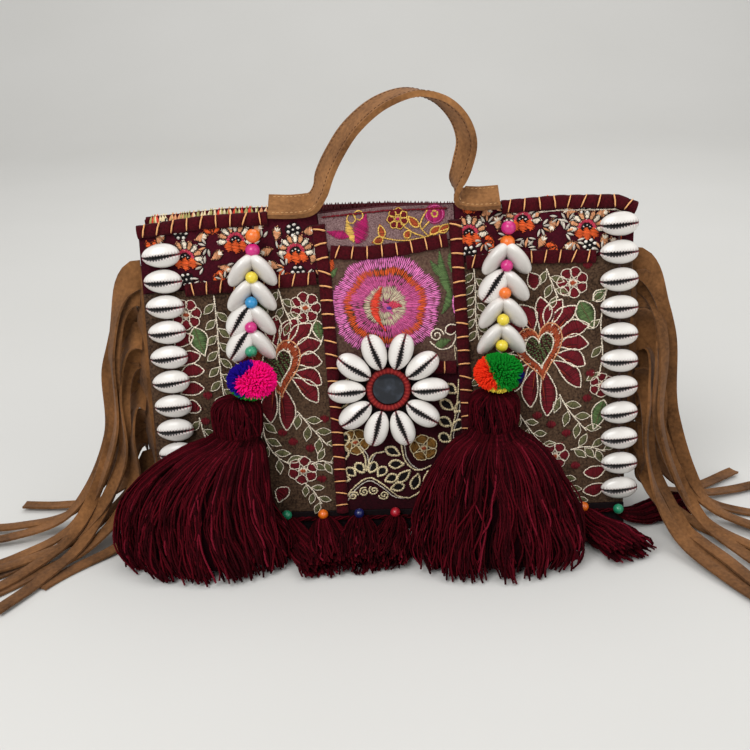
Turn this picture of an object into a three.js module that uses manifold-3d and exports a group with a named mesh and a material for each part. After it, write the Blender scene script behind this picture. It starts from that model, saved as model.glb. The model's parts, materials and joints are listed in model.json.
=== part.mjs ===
// A Banjara patchwork bag with a suede handle, suede side fringes, cowrie shells and yarn tassels.
// Millimetres, +Z up. The front faces -Y, and the origin is the middle of the base, on the floor.

import * as THREE from "three";
import { mergeVertices } from "three/addons/utils/BufferGeometryUtils.js";
import Module from "manifold-3d";

const wasm = await Module();
wasm.setup();
const { lerp, clamp, smoothstep, degToRad } = THREE.MathUtils;

// Driving dimensions: the cloth body
const GAP = 0.5; // clearance between pieces that touch on the real bag
const CLOTH = 2; // quilted wall of the panels and the gusset
const BAG_HALF_WIDTH = 167;
const BAG_HEIGHT = 230;
const BASE_HALF_DEPTH = 38;
const MOUTH_HALF_DEPTH = 13;
const BELLY = 7; // swell of the front and back panels
const BELLY_HALF_WIDTH = 172; // the swell dies out a little beyond the side seams
const MOUTH_WAVE = 2; // ripple of the soft mouth
const MOUTH_WAVE_LENGTH = 38;
const PANEL_LIFT = 0.6; // bottom edge of the panels above the floor
const GUSSET_HALF_WIDTH = 163;
const GUSSET_TOP = 204;
const GUSSET_CORNER = 18;
const SIDE_BULGE = 15; // how far the sides swell outwards
const SIDE_FULLNESS = 0.7; // below 1 the swell is flat in the middle

// Driving dimensions: the work on the front
const PATCH = 1;
const PATCH_STEP = 44; // longest facet of a patch
const PATCH_COLUMNS = 6;
const PATCH_INSET = 0.4; // half the seam between two patches
const PATCH_PASSES = 4; // a patch's slanting seams find each other in a few passes
const HEM = 16; // top of the dark band along the bottom edge
const HEM_CLOTH = 1.5;
const WELT_WIDTH = 9;
const WELT_CROWN = 4;
const WELT_EDGE = 0.8;
const WELT_STEP = 22; // longest facet of a welt
const MIRROR_RADIUS = 11.2;
const MIRROR_THICKNESS = 1.5;
const MIRROR_RING_RADIUS = 13.3;
const MIRROR_RING_YARN = 1.6;
const FLOWER = { x: -1, z: 110, pad: 28, petals: 10, radius: 28.6, turn: -18 };
const FLOWER_PAD = 4.2; // padded disc that lifts the flower over the welts

// Driving dimensions: shells, strings and yarn
const COWRIE = { length: 26, width: 16.6, height: 10, taper: 0.1, slit: 0.55 };
const BEAD_RADIUS = 4.9;
const SMALL_BEAD_RADIUS = 4.2;
const THREAD_RADIUS = 1;
const BEAD_FORWARD = 4; // the small beads stand in front of the shells
const CHARM_OUT = 14.2; // middle of a charm in front of the cloth
const POMPOM = { half: 18, deep: 15, tall: 13, lobe: 0.07, tufts: 6, rows: 5 };
const POMPOM_OUT = 26;
const TASSEL_OUT = 19;
const FLOOR_GAP = 0.4;

// Driving dimensions: suede and metal
const SUEDE = 1.6;
const HANDLE_WIDTH = 18;
const HANDLE_THICKNESS = 4;
const STRIP_WIDTH = 9;
const RING_WIRE = 1.3;
const RING_HALF_BAR = 8;
const RING_DROP = 16;
const LOOP_WIDTH = 10;
const LOOP_REACH = 5.6; // ring bar in front of the gusset
const LOOP_RADIUS = 4;
const LOOP_HOLE = 2.2;
const LOOP_FOOT = 5; // half the height of the loop's foot
const LOOP_CLEAR = 1.7; // the gusset slopes behind the loop
const RING_HEIGHT = 170;
const RING_DEPTH = 0.7; // share of the gusset's depth, from front to back

// Lines across the front, each with a row for every bend
const FRONT_TOP = [
  { x: -167, z: 222 },
  { x: -122, z: 228 },
  { x: -78, z: 230 },
  { x: -46, z: 229 },
  { x: -1, z: 232 },
  { x: 41, z: 232 },
  { x: 76, z: 232 },
  { x: 116, z: 235 },
  { x: 154, z: 235 },
  { x: 167, z: 230 },
];
const BACK_TOP = [
  { x: -167, z: 221 },
  { x: -110, z: 226 },
  { x: 0, z: 226 },
  { x: 167, z: 221 },
];
const LEFT_SEAM = [
  { z: 16, x: -36 },
  { z: 100, x: -38 },
  { z: 187, x: -42 },
  { z: 230, x: -46 },
];
const RIGHT_SEAM = [
  { z: 16, x: 57 },
  { z: 120, x: 52 },
  { z: 194, x: 48 },
  { z: 230, x: 46 },
];
const LEFT_BAND_SEAM = [
  { x: -167, z: 177 },
  { x: -111, z: 182 },
  { x: -44, z: 187 },
];
const RIGHT_BAND_SEAM = [
  { x: 46, z: 193 },
  { x: 103, z: 196 },
  { x: 167, z: 195 },
];
const CENTRE_TOP_SEAM = [
  { x: -44, z: 204 },
  { x: -16, z: 202 },
  { x: 10, z: 204 },
  { x: 50, z: 210 },
];
const CENTRE_LOW_SEAM = [
  { x: -40, z: 126 },
  { x: 54, z: 122 },
];

// Shell columns and charm strings
const SHELL_COLUMNS = [
  { name: "cowrie_column_left", topX: -151.5, topZ: 204.5, lowX: -150.5, lowZ: 30.5, count: 11 },
  { name: "cowrie_column_right", topX: 155.5, topZ: 218, lowX: 162, lowZ: 30, count: 11 },
];
const CHARMS = [
  { side: "left", topX: -87.5, topZ: 225, lowX: -93.5, lowZ: 140, first: 195.5, pitch: 16.6 },
  { side: "right", topX: 81.5, topZ: 225, lowX: 75.5, lowZ: 140.5, first: 198, pitch: 17.8 },
];
const CHARM_TOP_BEADS = [
  { z: 218.6 },
  { z: 209.2 },
];
const CHARM_BEAD_DROP = 3; // a small bead hangs this far under the middle of its pair
const CHARM_TAIL = 8; // the end of the thread bends forward to the pompom
const CHARM_PAIRS = 4;
const CHARM_SPREAD = { x: 7.2, z: 0.6, lean: 54, roll: 55 }; // the two shells of a pair, half on edge
const YARN_DROPS = [
  { side: "left", pompomX: -92.5, pompomZ: 126, headX: -105, headTop: 112, sway: -29, forward: 1 },
  { side: "right", pompomX: 73, pompomZ: 126.5, headX: 70.5, headTop: 112.5, sway: 0, forward: 1.2 },
];

// A tassel from the top of its head to the floor: drop is a share of its height
const TASSEL_ROWS = [
  { drop: 0.0, half: 10, deep: 9, forward: 0, sway: 0, lobe: 0 },
  { drop: 0.03, half: 15, deep: 13.5, forward: 0, sway: 0, lobe: 0 },
  { drop: 0.1, half: 17, deep: 15.5, forward: 0, sway: 0, lobe: 0 },
  { drop: 0.2, half: 16.5, deep: 15, forward: 0.5, sway: 0, lobe: 0 },
  { drop: 0.25, half: 14, deep: 12.5, forward: 1, sway: 0, lobe: 0 },
  { drop: 0.29, half: 25, deep: 16, forward: 3, sway: 0.25, lobe: 0.03 },
  { drop: 0.38, half: 37, deep: 17, forward: 8, sway: 0.6, lobe: 0.05 },
  { drop: 0.52, half: 48, deep: 19, forward: 16, sway: 0.9, lobe: 0.05 },
  { drop: 0.7, half: 56, deep: 22.5, forward: 22.5, sway: 1, lobe: 0.05 },
  { drop: 0.86, half: 59, deep: 26, forward: 27, sway: 0.9, lobe: 0.06 },
  { drop: 1.0, half: 55, deep: 27, forward: 30, sway: 0.7, lobe: 0.07 },
];
const TASSEL_HEAD = 18; // middle of the head under its top
const TASSEL_SIDES = 18;
const TASSEL_LOCKS = 9;

// The small tassels along the hem: reach is how far the tip lies in front, sway how far to the side, and
// out how far the head stands in front of its cord
const HEM_TASSELS = [
  { x: -154, reach: 9, sway: 0, half: 8, out: 0 },
  { x: -128, reach: 9, sway: 0, half: 8, out: 0 },
  { x: -102, reach: 9, sway: 0, half: 8, out: 0 },
  { x: -76, reach: 58, sway: 27, half: 13, out: 0 },
  { x: -50, reach: 60, sway: 8, half: 17, out: 0 },
  { x: -24, reach: 58, sway: 0, half: 17, out: 0 },
  { x: 2, reach: 55, sway: -10, half: 15, out: 0 },
  { x: 28, reach: 9, sway: 0, half: 8, out: 0 },
  { x: 54, reach: 9, sway: 0, half: 8, out: 0 },
  { x: 80, reach: 9, sway: 0, half: 8, out: 0 },
  { x: 106, reach: 9, sway: 0, half: 8, out: 0 },
  { x: 137, reach: 52, sway: 26, half: 16, out: 0 },
  { x: 161, reach: -24, sway: 54, half: 12, out: 5 },
];
const HEM_TASSEL_ROWS = [
  { along: 0.0, half: 0.2, thick: 0.14 },
  { along: 0.08, half: 0.34, thick: 0.25 },
  { along: 0.18, half: 0.34, thick: 0.24 },
  { along: 0.5, half: 0.9, thick: 0.44 },
  { along: 1.0, half: 1, thick: 0.46 },
];
const HEM_CORD_Z = 11;

// The handle's middle line, from its left foot over the top to its right foot
const HANDLE_ROWS = [
  { x: -78, z: 234.5 },
  { x: -60, z: 234 },
  { x: -49, z: 236 },
  { x: -43, z: 244 },
  { x: -40, z: 254 },
  { x: -33, z: 268 },
  { x: -21, z: 285 },
  { x: -2, z: 300 },
  { x: 19, z: 306 },
  { x: 37, z: 301 },
  { x: 49, z: 289 },
  { x: 54, z: 274 },
  { x: 51, z: 258 },
  { x: 47.5, z: 246 },
  { x: 50, z: 238 },
  { x: 60, z: 236 },
  { x: 76, z: 236.5 },
];
const HANDLE_Y = -15.5;
const HANDLE_FOOT_TILT = 35;
const HANDLE_TURN = 32;
const HANDLE_FOOT_SHARE = 0.12; // each foot's share of the whole length
const HANDLE_BEND = { start: 0.8, end: 1.8 }; // where the strap turns up, in feet from its end
const HANDLE_STEPS = 32;

// The suede strips of each side: root height, turn towards the front from sideways, and run outwards
const STRIPS_LEFT = [
  { root: 188, turn: 34, run: 150 },
  { root: 174, turn: 45, run: 158 },
  { root: 160, turn: 18, run: 144 },
  { root: 145, turn: 40, run: 154 },
  { root: 130, turn: 54, run: 150 },
  { root: 115, turn: 8, run: 138 },
  { root: 100, turn: 48, run: 150 },
  { root: 84, turn: -14, run: 108 },
  { root: 67, turn: 36, run: 140 },
  { root: 50, turn: 55, run: 108 },
];
const STRIPS_RIGHT = [
  { root: 188, turn: 21, run: 128 },
  { root: 175, turn: 44, run: 140 },
  { root: 162, turn: 57, run: 146 },
  { root: 148, turn: 8, run: 118 },
  { root: 134, turn: 68, run: 164 },
  { root: 120, turn: 36, run: 136 },
  { root: 106, turn: 61, run: 160 },
  { root: 92, turn: -10, run: 112 },
  { root: 77, turn: 66, run: 150 },
  { root: 62, turn: 36, run: 126 },
  { root: 48, turn: -24, run: 108 },
];
const STRIP_BAND = { front: 0.08, back: 0.28, top: 193, low: 40, thickness: 2.4, clear: 1.2 };
const STRIP_DEPTHS = [0.15, 0.21, 0.27]; // neighbouring strips leave at three depths, and lie in layers
const STRIP_LIFT = 2; // height of one layer over the next on the floor
const STRIP_STEPS = 6;
const STRIP_STAND_OFF = { low: 12, high: 36 }; // strips with high roots fall outside those with low roots
const STRIP_LEAVE = { straight: 4, off: 0.4, fall: 0.94 }; // the suede leaves sideways and soon droops
const STRIP_KNOTS = [
  { off: 0.8, run: 0, fall: 0.74 }, // reach as shares of stand-off and run, height as a share of the root
  { off: 1, run: 0, fall: 0.4 },
  { off: 0.75, run: 0.3, fall: 0.07 },
  { off: 0.35, run: 0.66, fall: 0.005 },
  { off: 0, run: 1, fall: 0 },
];
const STRIP_FLARE = 0.2; // how much wider a strip is at its uncut root
const STRIP_CUT = 0.14; // share of a strip where it has its full cut
const STRIP_FACING = 0.5; // a hanging strip faces half to the side
const STRIP_LIES = { flat: 8, hanging: 45 }; // heights where a strip lies flat and where it hangs
const STRIP_TWIST = { most: 0.5, each: 2.4, along: 4 };

// Finishes
function finish(color, roughness, metalness = 0) {
  return new THREE.MeshStandardMaterial({ color, roughness, metalness });
}
const MAROON = finish(0x4a1420, 0.9);
const BROWN = finish(0x55402f, 0.95);
const PRINT = finish(0x3a1119, 0.9);
const MAUVE = finish(0x7d5a66, 0.9);
const ROSE = finish(0x8a3a66, 0.9);
const BLACK = finish(0x161113, 0.95);
const MAROON_YARN = finish(0x4d0c18, 1);
const RED_YARN = finish(0x8f2a24, 1);
const PINK_YARN = finish(0xe02a86, 1);
const GREEN_YARN = finish(0x2f9a3e, 1);
const SUEDE_TAN = finish(0x9a683c, 0.95);
const SHELL_WHITE = finish(0xf1ece4, 0.25);
const STRING_MIX = finish(0xd9b9a4, 0.4);
const MIRROR_GLASS = finish(0x9fb0bd, 0.05, 1);
const DARK_METAL = finish(0x5a5248, 0.35, 1);

// Reads a line's table at one place: between two rows it is straight, beyond the ends it is level
function readLine(rows, from, to, at) {
  const last = rows.length - 1;
  if (at <= rows[0][from]) return rows[0][to];
  if (at >= rows[last][from]) return rows[last][to];
  const next = rows.findIndex((row) => row[from] >= at);
  const a = rows[next - 1];
  const b = rows[next];
  return lerp(a[to], b[to], (at - a[from]) / (b[from] - a[from]));
}
const heightAlong = (rows) => (x) => readLine(rows, "x", "z", x);
const sideAlong = (rows) => (z) => readLine(rows, "z", "x", z);

// The soft wedge of the body: half its depth at one place
function halfDepth(x, z) {
  const rise = clamp(z / BAG_HEIGHT, 0, 1.05);
  const across = 1 - (x / BELLY_HALF_WIDTH) ** 2;
  const swell = BELLY * across * Math.sin(Math.PI * Math.min(rise, 1));
  return lerp(BASE_HALF_DEPTH, MOUTH_HALF_DEPTH, rise) + swell;
}

// A point in front of the front panel, out millimetres from its cloth
function onFront(x, z, out) {
  const ripple = MOUTH_WAVE * Math.sin(x / MOUTH_WAVE_LENGTH) * (z / BAG_HEIGHT) ** 2;
  return new THREE.Vector3(x, ripple - halfDepth(x, z) - out, z);
}

function onBack(x, z, out) {
  const ripple = MOUTH_WAVE * Math.cos(x / MOUTH_WAVE_LENGTH) * (z / BAG_HEIGHT) ** 2;
  return new THREE.Vector3(x, ripple + halfDepth(x, z) + out, z);
}

// Geometry helpers: every piece is a closed mesh with its faces pointing out
function closedMesh(geometry) {
  geometry.deleteAttribute("normal");
  geometry.deleteAttribute("uv");
  const merged = mergeVertices(geometry, 1e-4);
  const index = merged.getIndex().array;
  const at = (i) => new THREE.Vector3().fromBufferAttribute(merged.getAttribute("position"), index[i]);
  let volume = 0;
  for (let i = 0; i < index.length; i += 3) volume += at(i).dot(at(i + 1).cross(at(i + 2)));
  if (volume < 0) {
    for (let i = 0; i < index.length; i += 3) [index[i], index[i + 1]] = [index[i + 1], index[i]];
  }
  return merged;
}

function toSolid(geometry) {
  const vertProperties = new Float32Array(geometry.getAttribute("position").array);
  const triVerts = new Uint32Array(geometry.getIndex().array);
  return new wasm.Manifold(new wasm.Mesh({ numProp: 3, vertProperties, triVerts }));
}

function fuse(geometries) {
  const mesh = geometries.map(toSolid).reduce((whole, piece) => whole.add(piece)).getMesh();
  const geometry = new THREE.BufferGeometry();
  geometry.setAttribute("position", new THREE.BufferAttribute(mesh.vertProperties, 3));
  geometry.setIndex(new THREE.BufferAttribute(mesh.triVerts, 1));
  return geometry;
}

// A bent slab: place gives each corner its point, u and v run from 0 to 1, side 0 is the face and 1 the back
function bentSlab(along, across, place) {
  const geometry = new THREE.BoxGeometry(1, 1, 1, along, across, 1);
  const points = geometry.getAttribute("position");
  for (let i = 0; i < points.count; i++) {
    const spot = place(points.getX(i) + 0.5, points.getY(i) + 0.5, points.getZ(i) > 0 ? 0 : 1);
    points.setXYZ(i, spot.x, spot.y, spot.z);
  }
  return closedMesh(geometry);
}

// A bent rod: place gets the angle, the share of the length and 0 on the axis or 1 on the skin
function bentRod(sides, rows, place) {
  const geometry = new THREE.CylinderGeometry(1, 1, 1, sides, rows);
  const points = geometry.getAttribute("position");
  for (let i = 0; i < points.count; i++) {
    const x = points.getX(i);
    const z = points.getZ(i);
    const reach = Math.hypot(x, z) > 0.5 ? 1 : 0;
    const spot = place(Math.atan2(z, x), 0.5 - points.getY(i), reach);
    points.setXYZ(i, spot.x, spot.y, spot.z);
  }
  return closedMesh(geometry);
}

// A ribbon of suede along a curve: breadth gives its width and widthAt the way that its width points
function ribbon(curve, steps, breadth, thickness, widthAt) {
  return bentSlab(steps, 1, (u, v, side) => {
    const forward = curve.getTangentAt(u);
    const wide = widthAt(u, forward);
    wide.addScaledVector(forward, -wide.dot(forward)).normalize();
    const up = forward.clone().cross(wide);
    const spot = curve.getPointAt(u);
    spot.addScaledVector(wide, (v - 0.5) * breadth(u));
    return spot.addScaledVector(up, (side === 0 ? 0.5 : -0.5) * thickness);
  });
}

// The cowrie: an egg along X with its toothed slit on -Y, which a dented edge between two lips shows
const SLIT_ANGLES = [0, 14, 65, 120, 180, -120, -65, -14].map(degToRad);
function cowrieShape(rings) {
  const sides = SLIT_ANGLES.length;
  const geometry = new THREE.SphereGeometry(1, sides, rings);
  const points = geometry.getAttribute("position");
  const uv = geometry.getAttribute("uv");
  for (let i = 0; i < points.count; i++) {
    const end = points.getY(i);
    const ring = Math.sqrt(Math.max(0, 1 - end * end));
    const step = Math.round(uv.getX(i) * sides) % sides;
    const angle = SLIT_ANGLES[ring > 0.01 ? step : 0];
    const dent = step === 0 ? COWRIE.slit : 1;
    const half = (COWRIE.width / 2) * ring * (1 + COWRIE.taper * end);
    const y = -(COWRIE.height / 2) * ring * Math.cos(angle) * dent;
    points.setXYZ(i, (COWRIE.length / 2) * end, y, half * Math.sin(angle));
  }
  return closedMesh(geometry);
}

// Rolls a shape about its own length, turns it in the plane of the front and sets it in its place
function placed(shape, position, turn, roll = 0) {
  const matrix = new THREE.Matrix4().makeRotationY(turn);
  matrix.multiply(new THREE.Matrix4().makeRotationX(roll));
  matrix.setPosition(position);
  return shape.clone().applyMatrix4(matrix);
}

function bead(position, radius, sides) {
  const ball = new THREE.SphereGeometry(radius, sides, sides / 2);
  return closedMesh(ball.translate(position.x, position.y, position.z));
}

// The scene graph
const bag = new THREE.Group();
const body = new THREE.Group();
const frontWork = new THREE.Group();
const shells = new THREE.Group();
const yarn = new THREE.Group();
const suede = new THREE.Group();
bag.add(body, frontWork, shells, yarn, suede);

function addPiece(group, name, geometry, material) {
  const mesh = new THREE.Mesh(geometry, material);
  mesh.name = name;
  group.add(mesh);
  return mesh;
}

// The cloth body: two panels and one gusset that runs down a side, under the base and up the other side
const frontTop = heightAlong(FRONT_TOP);
const backTop = heightAlong(BACK_TOP);
const frontPanel = bentSlab(14, 7, (u, v, side) => {
  const x = lerp(-BAG_HALF_WIDTH, BAG_HALF_WIDTH, u);
  return onFront(x, lerp(PANEL_LIFT, frontTop(x), v), side === 0 ? 0 : -CLOTH);
});
addPiece(body, "front_panel", frontPanel, MAROON);

const backPanel = bentSlab(10, 5, (u, v, side) => {
  const x = lerp(-BAG_HALF_WIDTH, BAG_HALF_WIDTH, u);
  return onBack(x, lerp(PANEL_LIFT, backTop(x), v), side === 0 ? -CLOTH : 0);
});
addPiece(body, "back_panel", backPanel, MAROON);

const gussetLine = new THREE.Path();
gussetLine.moveTo(-GUSSET_HALF_WIDTH, GUSSET_TOP);
gussetLine.lineTo(-GUSSET_HALF_WIDTH, GUSSET_CORNER);
const cornerX = GUSSET_HALF_WIDTH - GUSSET_CORNER;
gussetLine.absarc(-cornerX, GUSSET_CORNER, GUSSET_CORNER, Math.PI, 1.5 * Math.PI, false);
gussetLine.lineTo(cornerX, 0);
gussetLine.absarc(cornerX, GUSSET_CORNER, GUSSET_CORNER, 1.5 * Math.PI, 2 * Math.PI, false);
gussetLine.lineTo(GUSSET_HALF_WIDTH, GUSSET_TOP);

// A point on the gusset: share runs along its line, deep from its front edge to its back edge
function onGusset(share, deep, out) {
  const spot = gussetLine.getPointAt(share);
  const run = gussetLine.getTangentAt(share);
  const rise = clamp(spot.y / GUSSET_TOP, 0, 1);
  const bulge = SIDE_BULGE * Math.sin(Math.PI * deep) * Math.sin(Math.PI * rise) ** SIDE_FULLNESS;
  const swell = bulge * Math.abs(run.y) + out;
  const front = onFront(spot.x, spot.y, -CLOTH - GAP).y;
  const back = onBack(spot.x, spot.y, -CLOTH - GAP).y;
  return new THREE.Vector3(spot.x + run.y * swell, lerp(front, back, deep), spot.y - run.x * swell);
}
const gussetLength = gussetLine.getLength();
const sideShare = (height, side) => {
  const down = (GUSSET_TOP - height) / gussetLength;
  return side < 0 ? down : 1 - down;
};
const gusset = bentSlab(28, 4, (u, v, side) => onGusset(u, v, side === 0 ? 0 : -CLOTH));
addPiece(body, "gusset", gusset, BROWN);

const hemBand = bentSlab(14, 1, (u, v, side) => {
  const x = lerp(-BAG_HALF_WIDTH, BAG_HALF_WIDTH, u);
  return onFront(x, lerp(PANEL_LIFT, HEM - PATCH_INSET, v), side === 0 ? GAP + HEM_CLOTH : GAP);
});
addPiece(body, "hem_band", hemBand, BLACK);

// The patches of the front, each between two side lines and two height lines
const leftSeam = sideAlong(LEFT_SEAM);
const rightSeam = sideAlong(RIGHT_SEAM);
const leftBand = heightAlong(LEFT_BAND_SEAM);
const rightBand = heightAlong(RIGHT_BAND_SEAM);
const centreTop = heightAlong(CENTRE_TOP_SEAM);
const centreLow = heightAlong(CENTRE_LOW_SEAM);
const leftEdge = () => -BAG_HALF_WIDTH;
const rightEdge = () => BAG_HALF_WIDTH;
const hemTop = () => HEM;
const PATCHES = [
  { name: "left_band", left: leftEdge, right: leftSeam, low: leftBand, high: frontTop, cloth: PRINT },
  { name: "left_field", left: leftEdge, right: leftSeam, low: hemTop, high: leftBand, cloth: BROWN },
  { name: "centre_top", left: leftSeam, right: rightSeam, low: centreTop, high: frontTop, cloth: MAUVE },
  { name: "rose", left: leftSeam, right: rightSeam, low: centreLow, high: centreTop, cloth: ROSE },
  { name: "centre_low", left: leftSeam, right: rightSeam, low: hemTop, high: centreLow, cloth: BLACK },
  { name: "right_band", left: rightSeam, right: rightEdge, low: rightBand, high: frontTop, cloth: PRINT },
  { name: "right_field", left: rightSeam, right: rightEdge, low: hemTop, high: rightBand, cloth: BROWN },
];
function patchSlab({ left, right, low, high }) {
  const middle = (left(BAG_HEIGHT / 2) + right(BAG_HEIGHT / 2)) / 2;
  const rows = Math.ceil((high(middle) - low(middle)) / PATCH_STEP);
  return bentSlab(PATCH_COLUMNS, rows, (u, v, side) => {
    let x = 0;
    let z = BAG_HEIGHT / 2;
    for (let pass = 0; pass < PATCH_PASSES; pass++) {
      x = lerp(left(z) + PATCH_INSET, right(z) - PATCH_INSET, u);
      z = lerp(low(x) + PATCH_INSET, high(x) - PATCH_INSET, v);
    }
    return onFront(x, z, side === 0 ? GAP + PATCH : GAP);
  });
}
for (const patch of PATCHES) addPiece(frontWork, `${patch.name}_patch`, patchSlab(patch), patch.cloth);

// The raised welts over the seams and the bindings of the top edge
const ON_PATCH = GAP + PATCH + GAP;
const upright = (seam, low, high) => (u) => ({ x: seam(lerp(low, high, u)), z: lerp(low, high, u) });
const level = (line, from, to, drop = 0) => (u) => ({
  x: lerp(from, to, u),
  z: line(lerp(from, to, u)) - drop,
});
const SEAM_CLEAR = WELT_WIDTH / 2 + 1.4; // a cross welt stops this far from the middle of an upright one
const UPRIGHT_TOP = 222;
const BINDING_DROP = 3;
const topLeft = leftSeam(203) + SEAM_CLEAR;
const topRight = rightSeam(210) - SEAM_CLEAR;
const WELTS = [
  { name: "welt_left_upright", line: upright(leftSeam, HEM, UPRIGHT_TOP) },
  { name: "welt_right_upright", line: upright(rightSeam, HEM, UPRIGHT_TOP) },
  { name: "welt_left_band", line: level(leftBand, -137, leftSeam(187) - SEAM_CLEAR) },
  { name: "welt_right_band", line: level(rightBand, rightSeam(194) + SEAM_CLEAR, 141) },
  { name: "welt_centre_top", line: level(centreTop, topLeft, topRight) },
  { name: "welt_centre_low", line: level(centreLow, 30, rightSeam(122) - SEAM_CLEAR) },
  { name: "binding_left", line: level(frontTop, -BAG_HALF_WIDTH, -79, BINDING_DROP) },
  { name: "binding_right", line: level(frontTop, 78, BAG_HALF_WIDTH, BINDING_DROP) },
];
function weltSlab(line) {
  const step = 0.01;
  const first = line(0);
  const last = line(1);
  const facets = Math.ceil(Math.hypot(last.x - first.x, last.z - first.z) / WELT_STEP);
  return bentSlab(facets, 2, (u, v, side) => {
    const here = line(u);
    const a = line(Math.max(0, u - step));
    const b = line(Math.min(1, u + step));
    const run = Math.hypot(b.x - a.x, b.z - a.z);
    const across = (v - 0.5) * WELT_WIDTH;
    const x = here.x - ((b.z - a.z) / run) * across;
    const z = here.z + ((b.x - a.x) / run) * across;
    const crown = lerp(WELT_EDGE, WELT_CROWN, 1 - (2 * v - 1) ** 2);
    return onFront(x, z, ON_PATCH + (side === 0 ? crown : 0));
  });
}
for (const welt of WELTS) addPiece(frontWork, welt.name, weltSlab(welt.line), MAROON);

// The mirror flower: a padded disc, a mirror in a yarn ring, and ten cowries round it
const flower = new THREE.Group();
flower.position.copy(onFront(FLOWER.x, FLOWER.z, 0));
const flowerLean = Math.atan2(BASE_HALF_DEPTH - MOUTH_HALF_DEPTH, BAG_HEIGHT);
flower.rotation.x = -flowerLean;
frontWork.add(flower);
const PAD_BASE = ON_PATCH + 0.3; // the cloth curves a little behind the flat pad
const padTop = PAD_BASE + FLOWER_PAD + GAP;
function disc(radius, thickness, base) {
  const plate = new THREE.CylinderGeometry(radius, radius, thickness, 20);
  return closedMesh(plate.translate(0, -base - thickness / 2, 0));
}
addPiece(flower, "flower_pad", disc(FLOWER.pad, FLOWER_PAD, PAD_BASE), BLACK);
addPiece(flower, "mirror", disc(MIRROR_RADIUS, MIRROR_THICKNESS, padTop), MIRROR_GLASS);
const ringShape = new THREE.TorusGeometry(MIRROR_RING_RADIUS, MIRROR_RING_YARN, 5, 18);
ringShape.rotateX(Math.PI / 2).translate(0, -padTop - MIRROR_RING_YARN, 0);
addPiece(flower, "mirror_ring", closedMesh(ringShape), RED_YARN);
const cowrie = cowrieShape(4);
const charmCowrie = cowrieShape(3);
for (let petal = 0; petal < FLOWER.petals; petal++) {
  const angle = degToRad(FLOWER.turn + (360 / FLOWER.petals) * petal);
  const mesh = addPiece(flower, `flower_cowrie_${petal + 1}`, cowrie, SHELL_WHITE);
  const x = FLOWER.radius * Math.sin(angle);
  const z = FLOWER.radius * Math.cos(angle);
  mesh.position.set(x, -padTop - COWRIE.height / 2, z);
  mesh.rotation.y = angle - Math.PI / 2;
}

// A four-sided thread through a row of shells or beads
function threadRod(rows, spotAt) {
  return bentRod(4, rows, (angle, share, reach) => {
    const spot = spotAt(share);
    spot.x += reach * THREAD_RADIUS * Math.cos(angle);
    spot.y += reach * THREAD_RADIUS * Math.sin(angle);
    return spot;
  });
}

// The two columns of cowries, sewn on a thread with their wide ends left and right by turns
const SHELL_TILT = 0.03;
for (const { name, topX, topZ, lowX, lowZ, count } of SHELL_COLUMNS) {
  const out = ON_PATCH + COWRIE.height / 2;
  const thread = threadRod(8, (share) => onFront(lerp(topX, lowX, share), lerp(topZ, lowZ, share), out));
  const pieces = [thread];
  for (let row = 0; row < count; row++) {
    const share = row / (count - 1);
    const spot = onFront(lerp(topX, lowX, share), lerp(topZ, lowZ, share), out);
    pieces.push(placed(cowrie, spot, row % 2 === 0 ? SHELL_TILT : Math.PI - SHELL_TILT));
  }
  addPiece(shells, name, fuse(pieces), SHELL_WHITE);
}

// The charm strings: two beads, then pairs of cowries with a bead between them, on one thread
for (const charm of CHARMS) {
  const spotAt = (z) => {
    const share = (charm.topZ - z) / (charm.topZ - charm.lowZ);
    const tail = clamp((charm.lowZ + CHARM_TAIL - z) / CHARM_TAIL, 0, 1);
    return onFront(lerp(charm.topX, charm.lowX, share), z, lerp(CHARM_OUT, POMPOM_OUT, tail));
  };
  const pairAt = (z) => spotAt(Math.max(z, charm.lowZ + CHARM_TAIL)).setZ(z);
  const thread = threadRod(12, (share) => spotAt(lerp(charm.topZ, charm.lowZ, share)));
  const pieces = [thread];
  for (const row of CHARM_TOP_BEADS) pieces.push(bead(spotAt(row.z), BEAD_RADIUS, 8));
  for (let pair = 0; pair < CHARM_PAIRS; pair++) {
    const z = charm.first - pair * charm.pitch;
    const beadSpot = pairAt(z - CHARM_BEAD_DROP);
    beadSpot.y -= BEAD_FORWARD;
    pieces.push(bead(beadSpot, SMALL_BEAD_RADIUS, 6));
    for (const side of [-1, 1]) {
      const spot = pairAt(z);
      spot.x += side * CHARM_SPREAD.x;
      spot.z += CHARM_SPREAD.z;
      const lean = degToRad(CHARM_SPREAD.lean);
      const roll = side * degToRad(CHARM_SPREAD.roll);
      pieces.push(placed(charmCowrie, spot, side < 0 ? Math.PI - lean : lean, roll));
    }
  }
  addPiece(shells, `charm_${charm.side}`, fuse(pieces), STRING_MIX);
}

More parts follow.
